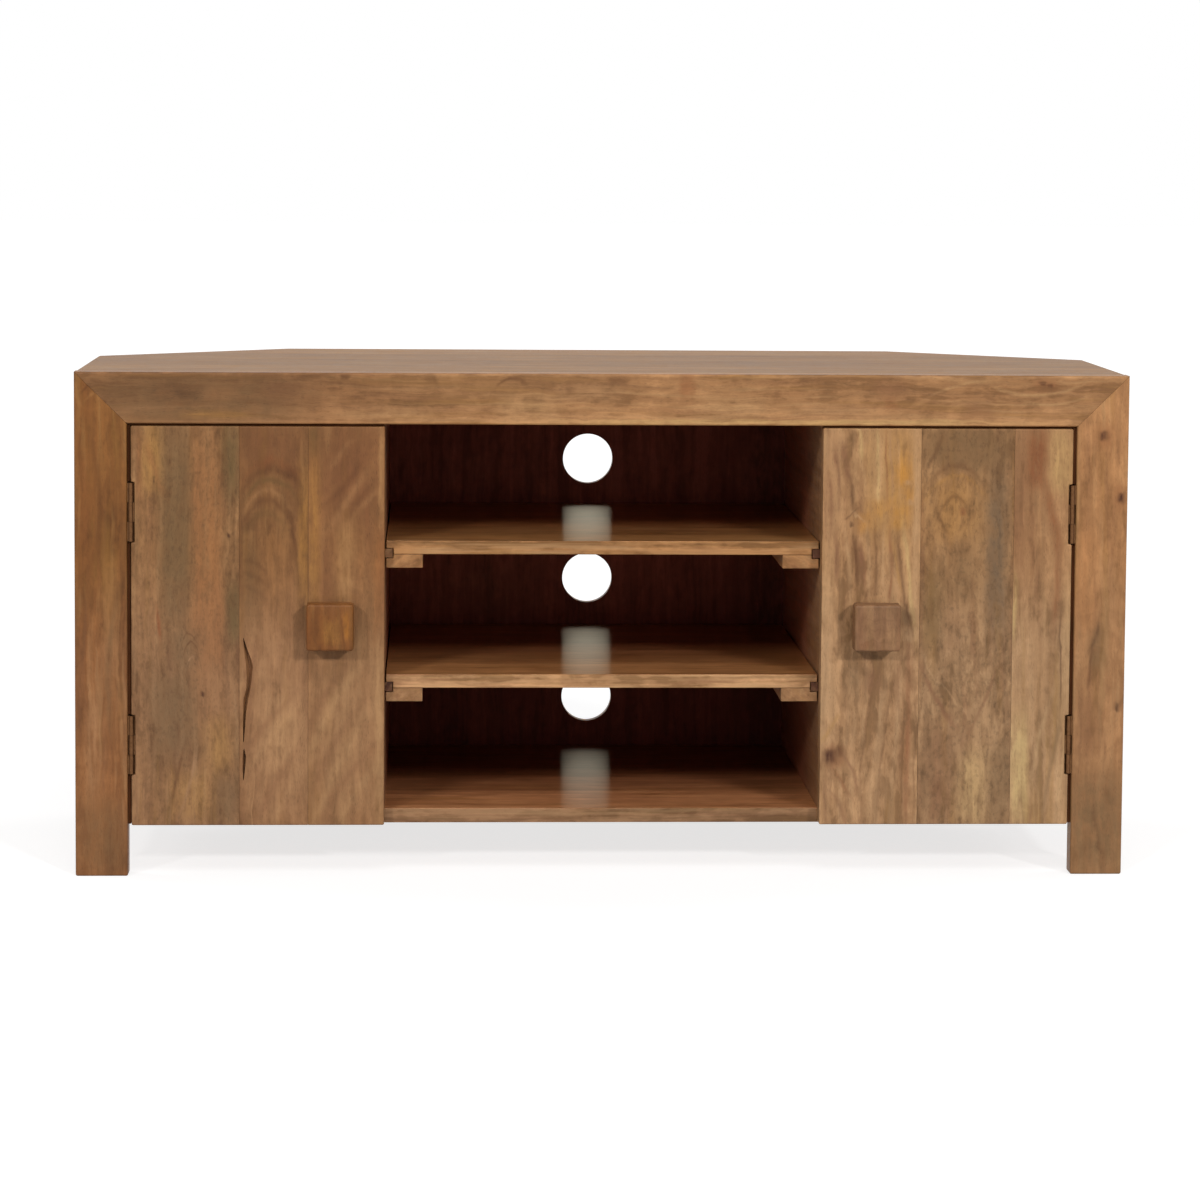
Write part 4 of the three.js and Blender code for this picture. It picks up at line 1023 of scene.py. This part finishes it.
# Drying crack in the left door: its middle line and half width, in millimetres, seen from the front
CRACK = [
    [(-392.2, 262.0, 0.4), (-390.2, 252.0, 1.6), (-386.8, 238.0, 3.2), (-385.6, 231.0, 3.6),
     (-385.9, 219.0, 2.7), (-386.9, 207.0, 2.3), (-389.8, 194.0, 2.5), (-391.0, 180.0, 1.6),
     (-391.6, 165.0, 1.2), (-392.2, 148.0, 0.4)],
    [(-391.6, 140.0, 0.4), (-391.2, 132.0, 1.8), (-391.8, 120.0, 1.5), (-392.4, 106.0, 0.4)],
]
CRACK_DEPTH = 7.0


def split_open(piece):
    """Cuts the drying crack, wide at the front face and narrow at its bottom."""
    for line in CRACK:
        rims = []
        for y, spread in ((-1.0, 1.15), (CRACK_DEPTH, 0.2)):
            rims.append([(x - half * spread, y, z) for x, z, half in line]
                        + [(x + half * spread, y, z) for x, z, half in reversed(line)])
        mesh = bmesh.new()
        add_plug(mesh, rims)
        carve(piece, mesh)


# Fittings

def metal(name, colour, worn, roughness):
    web = Web(name)
    spots = web.scattered(260.0, detail=3.0, roughness=0.6)
    brushed = web.scattered(2500.0, 90.0)
    return web.surface(
        Base_Color=web.mix((0.5 + spots * 0.45).clamped(), colour, worn),
        Metallic=1.0,
        Roughness=(roughness + spots * 0.08 + brushed * 0.05).clamped(),
        Normal=web.bump(brushed + spots * 0.6, 0.00004),
    )


def plastic(name, colour):
    web = Web(name)
    grain = web.scattered(900.0)
    return web.surface(
        Base_Color=web.scaled(colour[:3], 1.0 + web.scattered(60.0) * 0.12),
        Roughness=(0.45 + grain * 0.08).clamped(),
        Normal=web.bump(grain, 0.00003),
    )


# A fuzzy cloth surface, used only for the strips of painted shade in the door gaps
def felt(name, colour):
    web = Web(name)
    fuzz = web.scattered(1800.0)
    return web.surface(
        Base_Color=web.scaled(colour[:3], 1.0 + web.scattered(40.0, 25.0) * 0.25 + fuzz * 0.15),
        Roughness=0.95,
        Specular_IOR_Level=0.05,
        Normal=web.bump(fuzz, 0.0002),
    )


HINGE_AXIS_X = 514.0
HINGE_MIDDLES = {"upper": 399.5, "lower": 144.5}
LEAF_FACE = 2.5  # from the pin's axis to a leaf's visible face


def add_hinge_screws(material):
    for side_name, sign in SIDES:
        for level, middle in HINGE_MIDDLES.items():
            for leaf, out, body in (("frame_leaf", 1, "cabinet"), ("door_leaf", -1, side_name + "_door")):
                x = sign * (HINGE_AXIS_X + out * LEAF_FACE)
                places = [(x, 10.0, middle - 23), (x, 13.0, middle), (x, 10.0, middle + 23)]
                add_screws(f"{side_name}_{level}_hinge_{leaf}_screws", places, (-sign * out, 0, 0), 2.6,
                           material, body)


def add_catch_details(steel):
    """Pole plates and screws of the magnetic catches, and the screws of their strike plates."""
    for side_name, sign in SIDES:
        poles = [((sign * near, 21.85, 415.5), (sign * (near + 1.2), 24.0, 451.5))
                 for near in (262.6, 268.7)]
        rounded_blocks(side_name + "_catch_poles", poles, steel, "cabinet", 0.15)
        add_screws(side_name + "_catch_screws", [(sign * 273.2, 31, z) for z in (418.5, 448.5)],
                   (sign, 0, 0), 2.4, steel, "cabinet")
        add_screws(side_name + "_strike_screws", [(sign * 266.25, 21.2, z) for z in (421.5, 445.5)],
                   (0, 1, 0), 2.2, steel, side_name + "_door")


def dress_fittings():
    brass = metal("tarnished_brass", srgb(84, 56, 35), srgb(118, 84, 56), 0.55)
    add_hinge_screws(brass)
    steel = metal("zinc_steel", srgb(150, 150, 146), srgb(188, 187, 182), 0.32)
    case = plastic("brown_plastic", srgb(84, 58, 40))
    for side_name, _ in SIDES:
        for level in HINGE_MIDDLES:
            for part in ("frame_leaf", "door_leaf", "pin"):
                node = f"{side_name}_{level}_hinge_{part}"
                dress(node, brass, arris=0.25, name=node + "_brass")
        for part in ("strike_plate", "knob_screw"):
            node = f"{side_name}_{part}"
            dress(node, steel, arris=0.3, name=node + "_steel")
        dress(side_name + "_catch", case, arris=0.8, name=side_name + "_catch_case")
    add_catch_details(steel)


def add_door_seals():
    """Brown felt-like strips behind the gaps above the doors and beside their hinges, fixed to the frame:
    painted shade that gives the dark gaps a brown colour.
    """
    brown = felt("gap_shade_brown", srgb(84, 50, 29))
    for side_name, sign in SIDES:
        strips = [((sign * 514.8, 5.0, low), (sign * 517.9, 18.0, high))
                  for low, high in ((57.0, 111.5), (177.5, 366.5), (432.5, 493.9))]
        strips.append(((sign * 240.5, 5.0, 494.0), (sign * 517.9, 18.0, 495.9)))
        rounded_blocks(side_name + "_door_seal", strips, brown, "cabinet", 0.3)


# Studio

def seen_straight(web):
    """1 for rays from the camera, from gloss and through glass, else 0."""
    return web.largest(*[web.made("LightPath", name) for name in
                         ("Is Camera Ray", "Is Glossy Ray", "Is Transmission Ray")])


def add_floor():
    mesh = bmesh.new()
    bmesh.ops.create_grid(mesh, x_segments=1, y_segments=1, size=30.0)
    floor = add_object("floor", mesh)
    web = Web("floor_white")
    lit = web.made("BsdfDiffuse", Color=(0.6, 0.6, 0.6, 1))
    glow = web.made("Emission", Strength=0.74)
    shaded = web.made("BsdfDiffuse", Color=(0.42, 0.42, 0.42, 1))
    floor.data.materials.append(web.finish(web.mixed(seen_straight(web), lit, web.both(glow, shaded))))


def add_world():
    world = bpy.data.worlds.new("studio")
    bpy.context.scene.world = world
    world.use_nodes = True
    web = Web(tree=world.node_tree)
    fill = web.made("Background", Color=WHITE, Strength=0.19)
    white = web.made("Background", Color=WHITE, Strength=1.0)
    web.finish(web.mixed(seen_straight(web), fill, white), "OutputWorld")


# Soft far lamps: degrees sideways and upwards of the front, strength, and spread in degrees. Low ones
# light all but the bay, and steeper ones the bay, whose depth is in shadow.
LAMPS = {
    "left_lamp": (-29, 23, 0.28, 5),
    "right_lamp": (29, 23, 0.40, 5),
    "left_bay_lamp": (-27, 29, 0.33, 10),
    "right_bay_lamp": (27, 29, 0.34, 10),
    "high_lamp": (0, 55, 0.22, 25),
    "left_rear_lamp": (-112, 25, 0.22, 15),
    "right_rear_lamp": (112, 25, 0.22, 15),
}
# Pieces that stand in the bay, by the beginnings of their names
BAY_PIECES = ("upper_shelf", "lower_shelf", "upper_left_runner", "upper_right_runner",
              "lower_left_runner", "lower_right_runner", "bottom_panel", "back_panel",
              "left_partition", "right_partition")


def light_group(name, state):
    """The bay's pieces, as what a lamp lights (INCLUDE) or leaves out (EXCLUDE)."""
    group = bpy.data.collections.new(name)
    for piece in bpy.data.objects:
        if piece.name.startswith(BAY_PIECES):
            group.objects.link(piece)
    for member in group.collection_objects:
        member.light_linking.link_state = state
    return group


def add_lamps():
    left_out = light_group("bay_left_out", "EXCLUDE")
    alone = light_group("bay_alone", "INCLUDE")
    lit = {"left_lamp": left_out, "right_lamp": left_out, "left_bay_lamp": alone, "right_bay_lamp": alone}
    for name, (sideways, upwards, strength, spread) in LAMPS.items():
        data = bpy.data.lights.new(name, "SUN")
        data.energy = strength * math.pi
        data.angle = math.radians(spread)
        lamp = bpy.data.objects.new(name, data)
        bpy.context.scene.collection.objects.link(lamp)
        turn, rise = math.radians(sideways), math.radians(upwards)
        towards = Vector((math.sin(turn) * math.cos(rise), -math.cos(turn) * math.cos(rise),
                          math.sin(rise)))
        lamp.rotation_mode = "QUATERNION"
        lamp.rotation_quaternion = towards.to_track_quat("Z", "Y")
        lamp.location = towards * 3
        if name in lit:
            lamp.light_linking.receiver_collection = lit[name]


def add_camera():
    """The photograph's camera, fitted to points on the cabinet's edges."""
    yaw, pitch, roll = 0.04555, 0.07736, 0.00719
    data = bpy.data.cameras.new("camera")
    data.sensor_width = 36.0
    data.lens = 108.945
    data.shift_y = -0.150
    camera = bpy.data.objects.new("camera", data)
    bpy.context.scene.collection.objects.link(camera)
    bpy.context.scene.camera = camera
    forward = Vector((math.sin(yaw) * math.cos(pitch), math.cos(yaw) * math.cos(pitch),
                      -math.sin(pitch)))
    level_right = Vector((math.cos(yaw), -math.sin(yaw), 0))
    level_up = level_right.cross(forward)
    right = level_right * math.cos(roll) + level_up * math.sin(roll)
    up = level_up * math.cos(roll) - level_right * math.sin(roll)
    turned = Matrix((right, up, -forward)).transposed().to_4x4()
    camera.matrix_world = Matrix.Translation((-0.18483, -4.14562, 0.80712)) @ turned


add_camera()
add_world()
add_floor()
dress_cabinet()
dress_shelves()
dress_doors()
dress_fittings()
add_door_seals()
add_lamps()
bpy.context.scene.view_settings.view_transform = "Standard"
